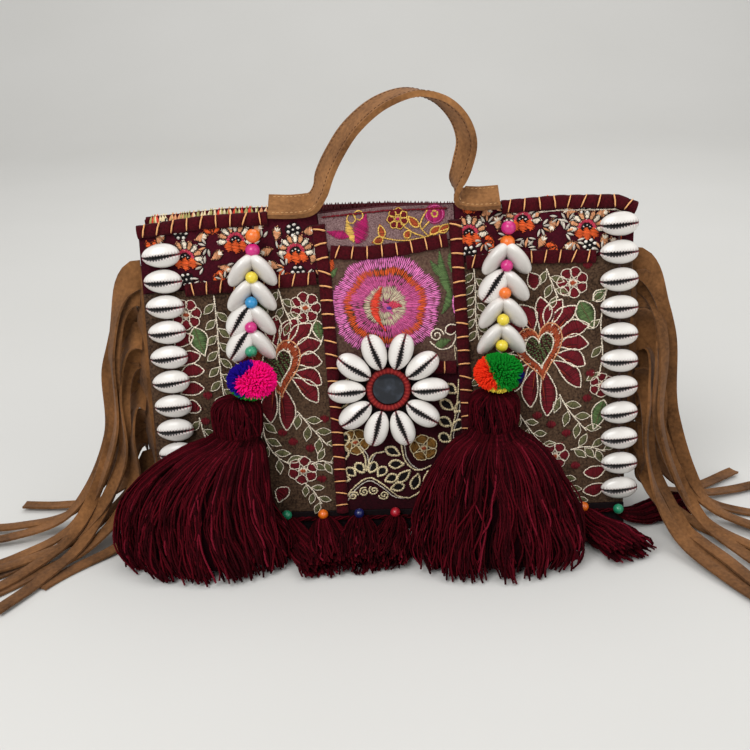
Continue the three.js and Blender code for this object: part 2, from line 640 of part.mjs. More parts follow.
// The yarn drops: a pompom and a big tassel whose skirt fans out on the floor
function pompomShape(spot) {
  const geometry = new THREE.SphereGeometry(1, 12, 7);
  const points = geometry.getAttribute("position");
  for (let i = 0; i < points.count; i++) {
    const x = points.getX(i);
    const y = points.getY(i);
    const z = points.getZ(i);
    const ring = Math.hypot(x, z);
    const bumps = Math.cos(POMPOM.tufts * Math.atan2(z, x)) * Math.cos(POMPOM.rows * y);
    const tuft = 1 + POMPOM.lobe * ring * bumps;
    const wool = new THREE.Vector3(POMPOM.half * x, -POMPOM.deep * z, POMPOM.tall * y);
    wool.multiplyScalar(tuft).add(spot);
    points.setXYZ(i, wool.x, wool.y, wool.z);
  }
  return closedMesh(geometry);
}
function tasselShape({ headX, headTop, sway, forward }) {
  const head = onFront(headX, headTop - TASSEL_HEAD, TASSEL_OUT);
  return bentRod(TASSEL_SIDES, TASSEL_ROWS.length - 1, (angle, share, reach) => {
    const row = TASSEL_ROWS[Math.round(share * (TASSEL_ROWS.length - 1))];
    const lock = 1 + row.lobe * Math.cos(TASSEL_LOCKS * angle);
    const x = head.x + sway * row.sway + reach * row.half * lock * Math.cos(angle);
    const y = head.y - forward * row.forward + reach * row.deep * lock * Math.sin(angle);
    return new THREE.Vector3(x, y, lerp(headTop, FLOOR_GAP, row.drop));
  });
}
for (const drop of YARN_DROPS) {
  const pompomSpot = onFront(drop.pompomX, drop.pompomZ, POMPOM_OUT);
  const pompomFinish = drop.side === "left" ? PINK_YARN : GREEN_YARN;
  addPiece(yarn, `pompom_${drop.side}`, pompomShape(pompomSpot), pompomFinish);
  addPiece(yarn, `tassel_${drop.side}`, tasselShape(drop), MAROON_YARN);
}

// The row of small tassels along the hem, sewn on a cord
const HEM_CORD_OUT = GAP + HEM_CLOTH + GAP;
const HEM_CORD = 1.5;
const HEM_CORD_HALF = 2;
const HEM_CORD_END = 4; // the cord goes on past the last tassel
const HEM_TASSEL_FULL = 9; // slimmer tassels are behind the big ones
function hemTasselShape({ x, reach, sway, half, out }) {
  const start = onFront(x, HEM_CORD_Z, HEM_CORD_OUT + HEM_CORD);
  const neck = HEM_TASSEL_ROWS[1].along;
  const run = new THREE.Vector3(sway, -reach, 0);
  const across = run.clone().normalize().cross(new THREE.Vector3(0, 0, 1));
  const sides = half < HEM_TASSEL_FULL ? 4 : 6;
  return bentRod(sides, HEM_TASSEL_ROWS.length - 1, (angle, share, reachOut) => {
    const row = HEM_TASSEL_ROWS[Math.round(share * (HEM_TASSEL_ROWS.length - 1))];
    const thick = half * row.thick;
    const middle = Math.max(HEM_CORD_Z * (1 - row.along) ** 2, thick + FLOOR_GAP);
    const spot = start.clone().addScaledVector(run, row.along);
    spot.addScaledVector(across, reachOut * half * row.half * Math.cos(angle));
    spot.y -= out * Math.min(1, row.along / neck);
    spot.z = middle + reachOut * thick * Math.sin(angle);
    return spot;
  });
}
const hemCord = bentSlab(14, 1, (u, v, side) => {
  const x = lerp(HEM_TASSELS[0].x - HEM_CORD_END, HEM_TASSELS.at(-1).x + HEM_CORD_END, u);
  const z = HEM_CORD_Z + (2 * v - 1) * HEM_CORD_HALF;
  return onFront(x, z, HEM_CORD_OUT + (side === 0 ? HEM_CORD : 0));
});
addPiece(yarn, "hem_fringe", fuse([hemCord, ...HEM_TASSELS.map(hemTasselShape)]), MAROON_YARN);

// The suede handle: a doubled strap with its feet laid over the top edge
const handleCurve = new THREE.CatmullRomCurve3(
  HANDLE_ROWS.map((row) => new THREE.Vector3(row.x, HANDLE_Y, row.z)),
  false,
  "centripetal",
);
const footTilt = degToRad(HANDLE_FOOT_TILT);
const archTurn = degToRad(HANDLE_TURN);
const footWidth = new THREE.Vector3(0, Math.cos(footTilt), Math.sin(footTilt));
const archWidth = new THREE.Vector3(-Math.sin(archTurn), Math.cos(archTurn), 0);
const handle = ribbon(handleCurve, HANDLE_STEPS, () => HANDLE_WIDTH, HANDLE_THICKNESS, (u) => {
  const end = Math.min(u, 1 - u) / HANDLE_FOOT_SHARE;
  return footWidth.clone().lerp(archWidth, smoothstep(end, HANDLE_BEND.start, HANDLE_BEND.end));
});
addPiece(suede, "handle", handle, SUEDE_TAN);

// The side fringes: a suede band down the front of each side, cut into strips that fall to the floor
function stripShape({ root, turn, run }, side, number) {
  const layer = number % STRIP_DEPTHS.length;
  const bandFace = STRIP_BAND.clear + STRIP_BAND.thickness - SUEDE / 2;
  const start = onGusset(sideShare(root, side), STRIP_DEPTHS[layer], bandFace);
  const rise = (root - STRIP_BAND.low) / (STRIP_BAND.top - STRIP_BAND.low);
  const standOff = lerp(STRIP_STAND_OFF.low, STRIP_STAND_OFF.high, rise);
  const floor = SUEDE / 2 + FLOOR_GAP;
  const ray = new THREE.Vector3(side * Math.cos(degToRad(turn)), -Math.sin(degToRad(turn)), 0);
  const droop = start.clone().setZ(floor + STRIP_LEAVE.fall * root);
  droop.x += side * standOff * STRIP_LEAVE.off;
  const knots = [start, start.clone().setX(start.x + side * STRIP_LEAVE.straight), droop];
  for (const knot of STRIP_KNOTS) {
    const reach = knot.off * standOff + knot.run * run;
    const height = floor + knot.fall * root + layer * STRIP_LIFT;
    knots.push(start.clone().addScaledVector(ray, reach).setZ(height));
  }
  const hanging = new THREE.Vector3(side * STRIP_FACING, -1, 0);
  const lying = new THREE.Vector3(0, 0, 1);
  const curve = new THREE.CatmullRomCurve3(knots);
  const breadth = (u) => STRIP_WIDTH * (1 + STRIP_FLARE * (1 - smoothstep(u, 0, STRIP_CUT)));
  return ribbon(curve, STRIP_STEPS, breadth, SUEDE, (u, forward) => {
    const hangs = smoothstep(curve.getPointAt(u).z, STRIP_LIES.flat, STRIP_LIES.hanging);
    const facing = lying.clone().lerp(hanging, hangs);
    const wave = Math.sin(STRIP_TWIST.each * number + STRIP_TWIST.along * u);
    return forward.clone().cross(facing).applyAxisAngle(forward, STRIP_TWIST.most * wave * hangs);
  });
}
function fringeShape(rows, side) {
  const band = bentSlab(10, 1, (u, v, face) => {
    const share = sideShare(lerp(STRIP_BAND.top, STRIP_BAND.low, u), side);
    const out = STRIP_BAND.clear + (face === 0 ? STRIP_BAND.thickness : 0);
    return onGusset(share, lerp(STRIP_BAND.front, STRIP_BAND.back, v), out);
  });
  return fuse([band, ...rows.map((row, number) => stripShape(row, side, number))]);
}
addPiece(suede, "side_fringe_left", fringeShape(STRIPS_LEFT, -1), SUEDE_TAN);
addPiece(suede, "side_fringe_right", fringeShape(STRIPS_RIGHT, 1), SUEDE_TAN);

// The D-rings of the shoulder strap, each hanging in a suede loop on its gusset
function loopShape() {
  const shape = new THREE.Shape();
  shape.moveTo(0, -LOOP_FOOT);
  shape.lineTo(LOOP_REACH, -LOOP_RADIUS);
  shape.absarc(LOOP_REACH, 0, LOOP_RADIUS, -Math.PI / 2, Math.PI / 2, false);
  shape.lineTo(0, LOOP_FOOT);
  shape.closePath();
  const hole = new THREE.Path();
  hole.absarc(LOOP_REACH, 0, LOOP_HOLE, 0, 2 * Math.PI, true);
  shape.holes.push(hole);
  const settings = { depth: LOOP_WIDTH, bevelEnabled: false, curveSegments: 6 };
  const loop = new THREE.ExtrudeGeometry(shape, settings);
  return closedMesh(loop.translate(0, 0, -LOOP_WIDTH / 2).rotateX(Math.PI / 2));
}
// A closed wire round a D: along the bar, then back round the bow, with the bar on the group's own Y axis
function ringWire() {
  const outline = new THREE.Path();
  const bow = RING_HALF_BAR;
  const straight = RING_DROP - bow;
  outline.moveTo(-RING_HALF_BAR, 0);
  outline.lineTo(RING_HALF_BAR, 0);
  outline.lineTo(RING_HALF_BAR, -straight);
  outline.absarc(0, -straight, bow, 0, -Math.PI, true);
  outline.closePath();
  const points = outline.getSpacedPoints(20).slice(0, 20);
  const count = points.length;
  const geometry = new THREE.TorusGeometry(1, 0.5, 5, count);
  const spots = geometry.getAttribute("position");
  const uv = geometry.getAttribute("uv");
  for (let i = 0; i < spots.count; i++) {
    const step = Math.round(uv.getX(i) * count) % count;
    const turn = 2 * Math.PI * uv.getY(i);
    const here = points[step];
    const before = points[(step + count - 1) % count];
    const after = points[(step + 1) % count];
    const run = after.clone().sub(before).normalize();
    const wide = RING_WIRE * Math.cos(turn);
    spots.setXYZ(i, RING_WIRE * Math.sin(turn), here.x - run.y * wide, here.y + run.x * wide);
  }
  return closedMesh(geometry);
}
for (const [name, side] of [["left", -1], ["right", 1]]) {
  const holder = new THREE.Group();
  holder.position.copy(onGusset(sideShare(RING_HEIGHT, side), RING_DEPTH, GAP + LOOP_CLEAR));
  holder.rotation.z = side < 0 ? Math.PI : 0;
  suede.add(holder);
  addPiece(holder, `ring_loop_${name}`, loopShape(), SUEDE_TAN);
  const ring = addPiece(holder, `d_ring_${name}`, ringWire(), DARK_METAL);
  ring.position.x = LOOP_REACH;
}

export default bag;
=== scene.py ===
# %% [markdown]
# # A Banjara patchwork bag
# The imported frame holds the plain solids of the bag: cloth walls, patches, shells, tassels and suede.
# This lesson covers each solid with a finer piece in the same place and gives it a finish made of nodes.
# Lengths are written in millimetres, as a maker would say them, and become metres when a mesh is made.

# %% Load the frame
import json
import math

import bmesh
import bpy
import numpy as np
from mathutils import Matrix, Vector

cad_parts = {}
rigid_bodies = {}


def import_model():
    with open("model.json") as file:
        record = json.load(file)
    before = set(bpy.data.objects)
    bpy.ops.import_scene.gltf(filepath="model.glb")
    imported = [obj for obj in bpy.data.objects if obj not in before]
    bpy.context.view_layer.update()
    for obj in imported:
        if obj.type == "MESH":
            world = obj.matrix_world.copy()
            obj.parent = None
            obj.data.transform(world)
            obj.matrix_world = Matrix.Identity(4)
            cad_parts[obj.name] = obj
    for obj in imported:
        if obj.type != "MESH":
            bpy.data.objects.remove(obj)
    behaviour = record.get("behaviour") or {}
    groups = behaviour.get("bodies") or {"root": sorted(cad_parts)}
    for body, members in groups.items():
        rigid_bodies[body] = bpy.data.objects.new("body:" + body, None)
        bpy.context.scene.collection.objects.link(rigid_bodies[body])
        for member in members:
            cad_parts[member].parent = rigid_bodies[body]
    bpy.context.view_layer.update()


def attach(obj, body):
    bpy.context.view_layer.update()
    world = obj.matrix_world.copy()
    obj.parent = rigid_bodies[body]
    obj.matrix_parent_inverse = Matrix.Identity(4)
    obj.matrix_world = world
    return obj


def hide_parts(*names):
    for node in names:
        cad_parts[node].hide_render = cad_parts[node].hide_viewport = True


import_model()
MM = 0.001
SHOWN = bpy.context.scene.collection.objects

# %% [markdown]
# ## The camera
# The camera stands in front of the bag, 22 degrees up, with a slight roll. A track-to constraint could aim
# it, but it would also level it. A camera's matrix is its right, up and back directions as columns, so here
# the matrix is written out, and the roll turns two of the columns.

# %% The camera
TARGET = Vector((-0.010, -0.025, 0.115))
DISTANCE = 0.760
ELEVATION = math.radians(22)
ROLL = math.radians(-1.6)
FOCAL_PIXELS = 1086
IMAGE_SIDE = 750
SENSOR = 36.0

back = Vector((0, -math.cos(ELEVATION), math.sin(ELEVATION)))
level_right = Vector((1, 0, 0))
level_up = back.cross(level_right)
right = level_right * math.cos(ROLL) + level_up * math.sin(ROLL)
up = level_up * math.cos(ROLL) - level_right * math.sin(ROLL)
eye = TARGET + back * DISTANCE
camera = bpy.data.objects.new("camera", bpy.data.cameras.new("camera"))
camera.data.sensor_width = SENSOR
camera.data.lens = FOCAL_PIXELS / IMAGE_SIDE * SENSOR
camera.matrix_world = Matrix([[right[k], up[k], back[k], eye[k]] for k in range(3)] + [[0, 0, 0, 1]])
SHOWN.link(camera)
bpy.context.scene.camera = camera
bpy.context.scene.view_settings.view_transform = "Standard"
print("lens", round(camera.data.lens, 2), "mm")

# %% [markdown]
# ## Writing node trees as sums
# A finish is a sum of patterns, and a sum reads best as a sum. The class below wraps one socket, so that
# `0.5 + 0.2 * weave` adds the Math nodes for it. Every other node comes from its `node` method.


# %% A socket that joins in sums
class Wire:
    """A socket of a node tree that takes part in Python sums."""

    def __init__(self, tree, socket=None):
        self.tree = tree
        self.socket = socket

    def node(self, kind, settings=None, inputs=None, out=0):
        made = self.tree.nodes.new(kind)
        for name, value in (settings or {}).items():
            setattr(made, name, value)
        for name, value in (inputs or {}).items():
            if isinstance(value, Wire):
                self.tree.links.new(value.socket, made.inputs[name])
            else:
                made.inputs[name].default_value = value
        return Wire(self.tree, made.outputs[out])

    def port(self, out):
        return Wire(self.tree, self.socket.node.outputs[out])

    def maths(self, operation, *values):
        return self.node("ShaderNodeMath", {"operation": operation}, dict(enumerate(values)))

    def __add__(self, other):
        return self.maths("ADD", self, other)

    def __sub__(self, other):
        return self.maths("SUBTRACT", self, other)

    def __rsub__(self, other):
        return self.maths("SUBTRACT", other, self)

    def __mul__(self, other):
        return self.maths("MULTIPLY", self, other)

    def __pow__(self, other):
        return self.maths("POWER", self, other)

    __radd__ = __add__
    __rmul__ = __mul__


print("sockets can be added and multiplied")

# %% [markdown]
# ## Small tools for finishes
# Every finish is one Principled shader. Its fixed values are set first, and what changes over the surface is
# fed in afterwards. Colours are given as a painter reads them, from 0 to 255, and made linear for the shader.


# %% Shader tools
def paint(red, green, blue):
    """A colour as a painter's 0 to 255 values, made linear for the shader."""
    linear = [((value / 255 + 0.055) / 1.055) ** 2.4 for value in (red, green, blue)]
    return (*linear, 1.0)


def new_finish(name, constants):
    material = bpy.data.materials.new(name)
    material.use_nodes = True
    shader = material.node_tree.nodes["Principled BSDF"]
    for socket, value in constants.items():
        shader.inputs[socket].default_value = value
    return material, Wire(material.node_tree)


def feed(material, **wires):
    """Links wires to the shader: base_color feeds Base Color, and so on."""
    shader = material.node_tree.nodes["Principled BSDF"]
    for name, wire in wires.items():
        material.node_tree.links.new(wire.socket, shader.inputs[name.replace("_", " ").title()])
    return material


def here(w):
    return w.node("ShaderNodeTexCoord", out="Object")


def noise(w, scale, detail=2.0):
    return w.node("ShaderNodeTexNoise", inputs={"Vector": here(w), "Scale": scale, "Detail": detail})


def tinted(w):
    """The colour that each point of the mesh carries."""
    return w.node("ShaderNodeAttribute", {"attribute_name": "tint"}, out="Color")


def mixed(w, first, second, share):
    return w.node("ShaderNodeMix", {"data_type": "RGBA"}, {0: share, 6: first, 7: second}, out=2)


def shaded(w, colour, share):
    return w.node("ShaderNodeVectorMath", {"operation": "SCALE"}, {0: colour, "Scale": share})


def raised(w, height, strength, distance):
    inputs = {"Height": height, "Strength": strength, "Distance": distance * MM}
    return w.node("ShaderNodeBump", inputs=inputs)


def stepped(w, value, low, high):
    """0 below low, 1 above high, smooth between."""
    inputs = {"Value": value, "From Min": low, "From Max": high}
    return w.node("ShaderNodeMapRange", {"interpolation_type": "SMOOTHSTEP"}, inputs)


def mottled(name, constants, first, second, scale):
    """A finish of two colours in soft spots."""
    material, w = new_finish(name, constants)
    return feed(material, base_color=mixed(w, first, second, noise(w, scale)))


print("shader tools are ready")

# %% [markdown]
# ## Floor and light
# A sheet of pale paper runs along the floor and up into a wall in one sweep, so no edge shows behind the bag.
# Large area lights give soft shadows: a key from the left, a weaker fill, one from above and one on the wall.

# %% Floor and lights
FLOOR_LEVEL = -0.4
SWEEP_START = 1500
SWEEP_RADIUS = 900
SWEEP_STEPS = 16
FLOOR_REACH = 4000
WORLD_LIGHT = 0.55
BAG_MIDDLE = (0, 0, 0.1)
WALL_MIDDLE = (0.1, 2.4, 1.0)
LIGHTS = {
    "key": ((-0.7, -1.3, 1.5), BAG_MIDDLE, 1.1, 24),
    "fill": ((1.3, -1.0, 0.9), BAG_MIDDLE, 1.4, 7),
    "top": ((0.2, 0.5, 1.7), BAG_MIDDLE, 1.2, 9),
    "wall": ((0.3, 0.7, 1.7), WALL_MIDDLE, 1.2, 9),
}


def studio_floor():
    turn = np.linspace(0, np.pi / 2, SWEEP_STEPS)
    depth = np.concatenate([[-FLOOR_REACH], SWEEP_START + SWEEP_RADIUS * np.sin(turn)])
    height = np.concatenate([[0], SWEEP_RADIUS * (1 - np.cos(turn))])
    depth = np.append(depth, depth[-1])
    height = np.append(height, FLOOR_REACH)
    points = [(side * FLOOR_REACH, y, z + FLOOR_LEVEL) for y, z in zip(depth, height) for side in (-1, 1)]
    faces = [(2 * k, 2 * k + 1, 2 * k + 3, 2 * k + 2) for k in range(len(depth) - 1)]
    mesh = bpy.data.meshes.new("studio_floor")
    mesh.from_pydata((np.array(points) * MM).tolist(), [], faces)
    mesh.shade_smooth()
    constants = {"Roughness": 0.8, "Specular IOR Level": 0.2}
    paper = mottled("studio_paper", constants, paint(204, 203, 199), paint(211, 210, 207), 3.0)
    mesh.materials.append(paper)
    floor = bpy.data.objects.new("studio_floor", mesh)
    SHOWN.link(floor)


studio_floor()
for name, (spot, aim, size, power) in LIGHTS.items():
    light = bpy.data.lights.new(name, "AREA")
    light.size = size
    light.energy = power
    lamp = bpy.data.objects.new(name, light)
    lamp.location = spot
    lamp.rotation_euler = (Vector(aim) - Vector(spot)).to_track_quat("-Z", "Y").to_euler()
    SHOWN.link(lamp)
world = bpy.data.worlds.new("studio")
world.use_nodes = True
sky = world.node_tree.nodes["Background"]
sky.inputs["Color"].default_value = (1, 1, 1, 1)
sky.inputs["Strength"].default_value = WORLD_LIGHT
bpy.context.scene.world = world
print("a floor and", len(LIGHTS), "lights")

# %% [markdown]
# ## Making meshes from rings
# Cloth walls, welts, shells, beads, straps and wires are all the same kind of shape: a row of rings with a
# skin between them. One `loft` function makes them, and keeps the length along and the share round as UVs.
# A `Shape` can be copied to many places and joined before it becomes one mesh.


# %% Shapes
class Shape:
    """Points in millimetres, faces as lists of point numbers, and one UV pair for each face corner."""

    def __init__(self, points, faces, uvs):
        self.points = points
        self.faces = faces
        self.uvs = uvs

    def placed(self, turn, spot):
        return Shape(self.points @ np.asarray(turn).T + spot, self.faces, self.uvs)


def joined(shapes):
    faces = []
    start = 0
    for shape in shapes:
        faces += [[start + corner for corner in face] for face in shape.faces]
        start += len(shape.points)
    points = np.concatenate([shape.points for shape in shapes])
    return Shape(points, faces, np.concatenate([shape.uvs for shape in shapes]))


def loft(rings, loop=False):
    """Skins rings[i, j], point j of ring i, and closes the two ends with strips unless the rings loop."""
    rings = np.asarray(rings, float)
    count, sides = rings.shape[:2]
    middles = rings.mean(axis=1)
    steps = np.linalg.norm(np.roll(middles, -1, axis=0) - middles, axis=1)
    along = np.concatenate([[0], np.cumsum(steps)])
    i, j = np.mgrid[0 : count if loop else count - 1, 0:sides].reshape(2, -1)
    corners = [(i, j), (i, j + 1), (i + 1, j + 1), (i + 1, j)]
    faces = np.stack([(a % count) * sides + b % sides for a, b in corners], axis=1).tolist()
    uvs = np.stack([columns(along[a], b / sides) for a, b in corners], axis=1)
    uvs = uvs.reshape(-1, 2)
    if not loop:
        for first in (0, (count - 1) * sides):
            for k in range(sides // 2 - 1):
                faces.append([first + k, first + k + 1, first + sides - 2 - k, first + sides - 1 - k])
        uvs = np.concatenate([uvs, np.zeros((8 * (sides // 2 - 1), 2))])
    return Shape(rings.reshape(-1, 3), faces, uvs)


def slab(columns, rows, place):
    """A wall: place(u, v, side) gives its points, with side 0 the face and side 1 the back."""
    u, v = np.meshgrid(np.linspace(0, 1, columns + 1), np.linspace(0, 1, rows + 1), indexing="ij")
    return loft(np.concatenate([place(u, v, 0), place(u, v, 1)[:, ::-1]], axis=1))


print("shapes can be lofted, placed and joined")

# %% [markdown]
# ## From a shape to a piece
# A piece is a mesh at the origin with its place in its points. It rides on a body of the frame and stands for
# one or more solids, which it hides. Faces turn outwards, and edges sharper than 50 degrees stay crisp.


# %% Pieces
def dress(piece, nodes=(), slot=None, body="bag"):
    """Hangs a finished piece on its body and hides the solids it stands for."""
    if piece.name not in SHOWN:
        SHOWN.link(piece)
    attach(piece, body)
    if nodes:
        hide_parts(*nodes)
    triangles = sum(len(face.vertices) - 2 for face in piece.data.polygons)
    print(f"{piece.name}: {triangles} triangles")
    return piece


def set_column(mesh, name, values):
    """Stores one value, vector or colour for each point of a mesh."""
    values = np.asarray(values, float)
    width = values.shape[1] if values.ndim > 1 else 1
    kind, field = {1: ("FLOAT", "value"), 3: ("FLOAT_VECTOR", "vector"), 4: ("FLOAT_COLOR", "color")}[width]
    mesh.attributes.new(name, kind, "POINT").data.foreach_set(field, values.ravel())


SHARP_ANGLE = math.radians(50)


def make_piece(name, shape, finish, tint=None, **facts):
    mesh = bpy.data.meshes.new(name)
    mesh.from_pydata((shape.points * MM).tolist(), [], shape.faces)
    mesh.uv_layers.new(name="UVMap").uv.foreach_set("vector", shape.uvs.ravel())
    shell = bmesh.new()
    shell.from_mesh(mesh)
    bmesh.ops.recalc_face_normals(shell, faces=shell.faces[:])
    shell.to_mesh(mesh)
    shell.free()
    mesh.shade_smooth()
    mesh.set_sharp_from_angle(angle=SHARP_ANGLE)
    mesh.materials.append(finish)
    if tint is not None:
        set_column(mesh, "tint", tint)
    return dress(bpy.data.objects.new(name, mesh), **facts)


print("pieces can be dressed")

# %% [markdown]
# ## Curves and mixes
# Paths are drawn by a few knots, and a smooth curve runs through them. The centripetal kind is used because
# it neither loops nor overshoots where knots lie close together.

# %% Curves
KNOT_STEPS = 24


def lerp(a, b, share):
    return a + (b - a) * share


def smooth_step(value, low, high):
    share = np.clip((value - low) / (high - low), 0, 1)
    return share * share * (3 - 2 * share)


def columns(*values):
    """Joins columns of x, y and z to points."""
    return np.stack(np.broadcast_arrays(*values), axis=-1)


def unit(vectors):
    return vectors / np.linalg.norm(vectors, axis=1, keepdims=True)


def full_turn(count):
    return np.linspace(0, 2 * np.pi, count, endpoint=False)


def travel_along(path):
    """How far along a path each of its points lies."""
    return np.concatenate([[0], np.cumsum(np.linalg.norm(np.diff(path, axis=0), axis=1))])


def evenly(path, count):
    travel = travel_along(path)
    even = np.linspace(0, travel[-1], count)
    return np.stack([np.interp(even, travel, values) for values in path.T], axis=1)


def smooth_line(knots, count):
    """A centripetal Catmull-Rom curve through the knots, as points at even steps."""
    knots = np.asarray(knots, float)
    ends = np.vstack([2 * knots[0] - knots[1], knots, 2 * knots[-1] - knots[-2]])
    share = np.linspace(0, 1, KNOT_STEPS, endpoint=False)[:, None]
    fine = []
    for a, b, c, d in zip(ends, ends[1:], ends[2:], ends[3:]):
        ab, bc, cd = (np.linalg.norm(q - p) ** 0.5 for p, q in ((a, b), (b, c), (c, d)))
        leave = ((b - a) / ab - (c - a) / (ab + bc) + (c - b) / bc) * bc
        reach = ((c - b) / bc - (d - b) / (bc + cd) + (d - c) / cd) * bc
        bend = (3 * (c - b) - 2 * leave - reach) * share**2 + (2 * (b - c) + leave + reach) * share**3
        fine.append(b + leave * share + bend)
    return evenly(np.vstack([*fine, knots[-1:]]), count)


print("curves are ready")

# %% [markdown]
# ## The soft wedge of the body
# The bag is a wedge that swells in the middle and ripples at the mouth. It could be modelled by hand and the
# rest snapped to it. Here three functions give a point in front of the front panel, behind the back panel and
# on the gusset, with the same sizes as the solids, and every other piece is placed by them.

# %% Points on the cloth
GAP = 0.5
CLOTH = 2.0
HALF_WIDTH = 167.0
HEIGHT = 230.0
BASE_HALF_DEPTH = 38.0
MOUTH_HALF_DEPTH = 13.0
BELLY = 7.0
BELLY_MARGIN = 5.0
RISE_LIMIT = 1.05
MOUTH_WAVE = 2.0
MOUTH_WAVE_LENGTH = 38.0
PANEL_LIFT = 0.6
GUSSET_HALF = 163.0
GUSSET_TOP = 204.0
GUSSET_CORNER = 18.0
SIDE_BULGE = 15.0
BULGE_POWER = 0.7
QUILT_HEIGHT = 0.28
PATCH = 1.0
HEM = 16.0
HEM_CLOTH = 1.5
PATCH_INSET = 0.4
ON_PATCH = GAP + PATCH + GAP


def half_depth(x, z):
    rise = np.clip(z / HEIGHT, 0, RISE_LIMIT)
    across = 1 - (x / (HALF_WIDTH + BELLY_MARGIN)) ** 2
    swell = BELLY * across * np.sin(np.pi * np.minimum(rise, 1))
    return lerp(BASE_HALF_DEPTH, MOUTH_HALF_DEPTH, rise) + swell


def on_front(x, z, out=0.0):
    ripple = MOUTH_WAVE * np.sin(x / MOUTH_WAVE_LENGTH) * (z / HEIGHT) ** 2
    return columns(x, ripple - half_depth(x, z) - out, z)


def on_back(x, z, out=0.0):
    ripple = MOUTH_WAVE * np.cos(x / MOUTH_WAVE_LENGTH) * (z / HEIGHT) ** 2
    return columns(x, ripple + half_depth(x, z) + out, z)


GUSSET_SIDE = GUSSET_TOP - GUSSET_CORNER
GUSSET_ARC = GUSSET_CORNER * np.pi / 2
GUSSET_BASE = 2 * (GUSSET_HALF - GUSSET_CORNER)
GUSSET_LENGTH = 2 * GUSSET_SIDE + 2 * GUSSET_ARC + GUSSET_BASE


def gusset_line(share):
    """x, z and the run of the gusset's line: down the left side, along the base and up the right side."""
    half_way = np.minimum(share, 1 - share) * GUSSET_LENGTH
    turn = np.clip((half_way - GUSSET_SIDE) / GUSSET_CORNER, 0, np.pi / 2)
    base = np.maximum(half_way - GUSSET_SIDE - GUSSET_ARC, 0)
    x = -GUSSET_HALF + GUSSET_CORNER * (1 - np.cos(turn)) + base
    z = np.maximum(GUSSET_TOP - half_way, GUSSET_CORNER) - GUSSET_CORNER * np.sin(turn)
    mirror = np.where(share > 0.5, -1, 1)
    return x * mirror, z, np.sin(turn), -np.cos(turn) * mirror


def on_gusset(share, deep, out=0.0):
    x, z, run_x, run_z = gusset_line(share)
    rise = np.clip(z / GUSSET_TOP, 0, 1)
    swell = SIDE_BULGE * np.sin(np.pi * deep) * np.sin(np.pi * rise) ** BULGE_POWER * np.abs(run_z)
    front = on_front(x, z, -CLOTH - GAP)[..., 1]
    rear = on_back(x, z, -CLOTH - GAP)[..., 1]
    return columns(x + run_z * (swell + out), lerp(front, rear, deep), z - run_x * (swell + out))


def side_share(height, side):
    """The share along the gusset at a height on the left side, -1, or the right side, 1."""
    down = (GUSSET_TOP - height) / GUSSET_LENGTH
    return down if side < 0 else 1 - down


def quilt(x, z):
    """The shallow hills of stitched cloth."""
    return QUILT_HEIGHT * np.sin(x / 8.5 + z / 23) * np.sin(z / 9.5 - x / 31)


def front_skin(x, z, lift=0.0):
    return on_front(x, z, GAP + PATCH + quilt(x, z) + lift)


print("gusset runs", round(GUSSET_LENGTH), "mm")

# %% [markdown]
# ## Cloth
# The bag is pieced from old cloth: a brown tweed, a printed band, a mauve wool and near-black cotton.
# A weave is two crossing waves. Colour flecks at the thread's scale and slow clouds of wear keep it alive.

# %% Cloth finishes
WEAVE_PITCH = 0.9


def woven(name, dark, light, fleck=1.2, grain=700):
    constants = {"Roughness": 0.95, "Specular IOR Level": 0.1, "Sheen Weight": 0.03}
    material, w = new_finish(name, constants)
    axes = w.node("ShaderNodeSeparateXYZ", inputs={0: here(w)})
    turns = 2 * math.pi / (WEAVE_PITCH * MM)
    warp = w.maths("SINE", (axes.port("X") + axes.port("Y")) * turns)
    weft = w.maths("SINE", axes.port("Z") * turns)
    weave = warp * weft
    flecks = noise(w, grain)
    clouds = noise(w, 30, 3.0)
    share = 0.5 + 0.14 * weave + fleck * (flecks - 0.5) + 0.9 * (clouds - 0.5)
    colour = mixed(w, dark, light, share)
    bump = raised(w, weave * 0.3 + flecks + noise(w, 85) * 4, 0.5, 0.45)
    return feed(material, base_color=colour, normal=bump)


MAROON_CLOTH = woven("maroon_cloth", paint(48, 9, 18), paint(88, 20, 32))
GUSSET_CLOTH = woven("gusset_cloth", paint(52, 33, 25), paint(92, 62, 44))
BLACK_CLOTH = woven("black_cloth", paint(12, 8, 10), paint(32, 20, 24))
CLOTHS = {
    "print_band": woven("print_cloth", paint(40, 6, 15), paint(80, 15, 31)),
    "brown_field": woven("field_tweed", paint(42, 29, 22), paint(94, 72, 55), fleck=2.4),
    "mauve_patch": woven("mauve_wool", paint(80, 54, 58), paint(148, 121, 119), fleck=2.6, grain=1500),
    "rose_patch": woven("rose_ground", paint(58, 34, 34), paint(104, 82, 68), fleck=2.0),
    "dark_patch": woven("dark_cotton", paint(26, 5, 11), paint(58, 12, 22)),
}
print(len(CLOTHS) + 3, "cloths")

# %% [markdown]
# ## Seams and edges
# The mouth and the seams between the patches wander, as in hand-sewn work. Each is a line through a few
# measured spots. An upright seam gives x for a height, and a level one gives the height for an x.


# %% Lines across the front
def line(rows):
    places, values = np.array(rows, float).T
    return lambda at: np.interp(at, places, values)


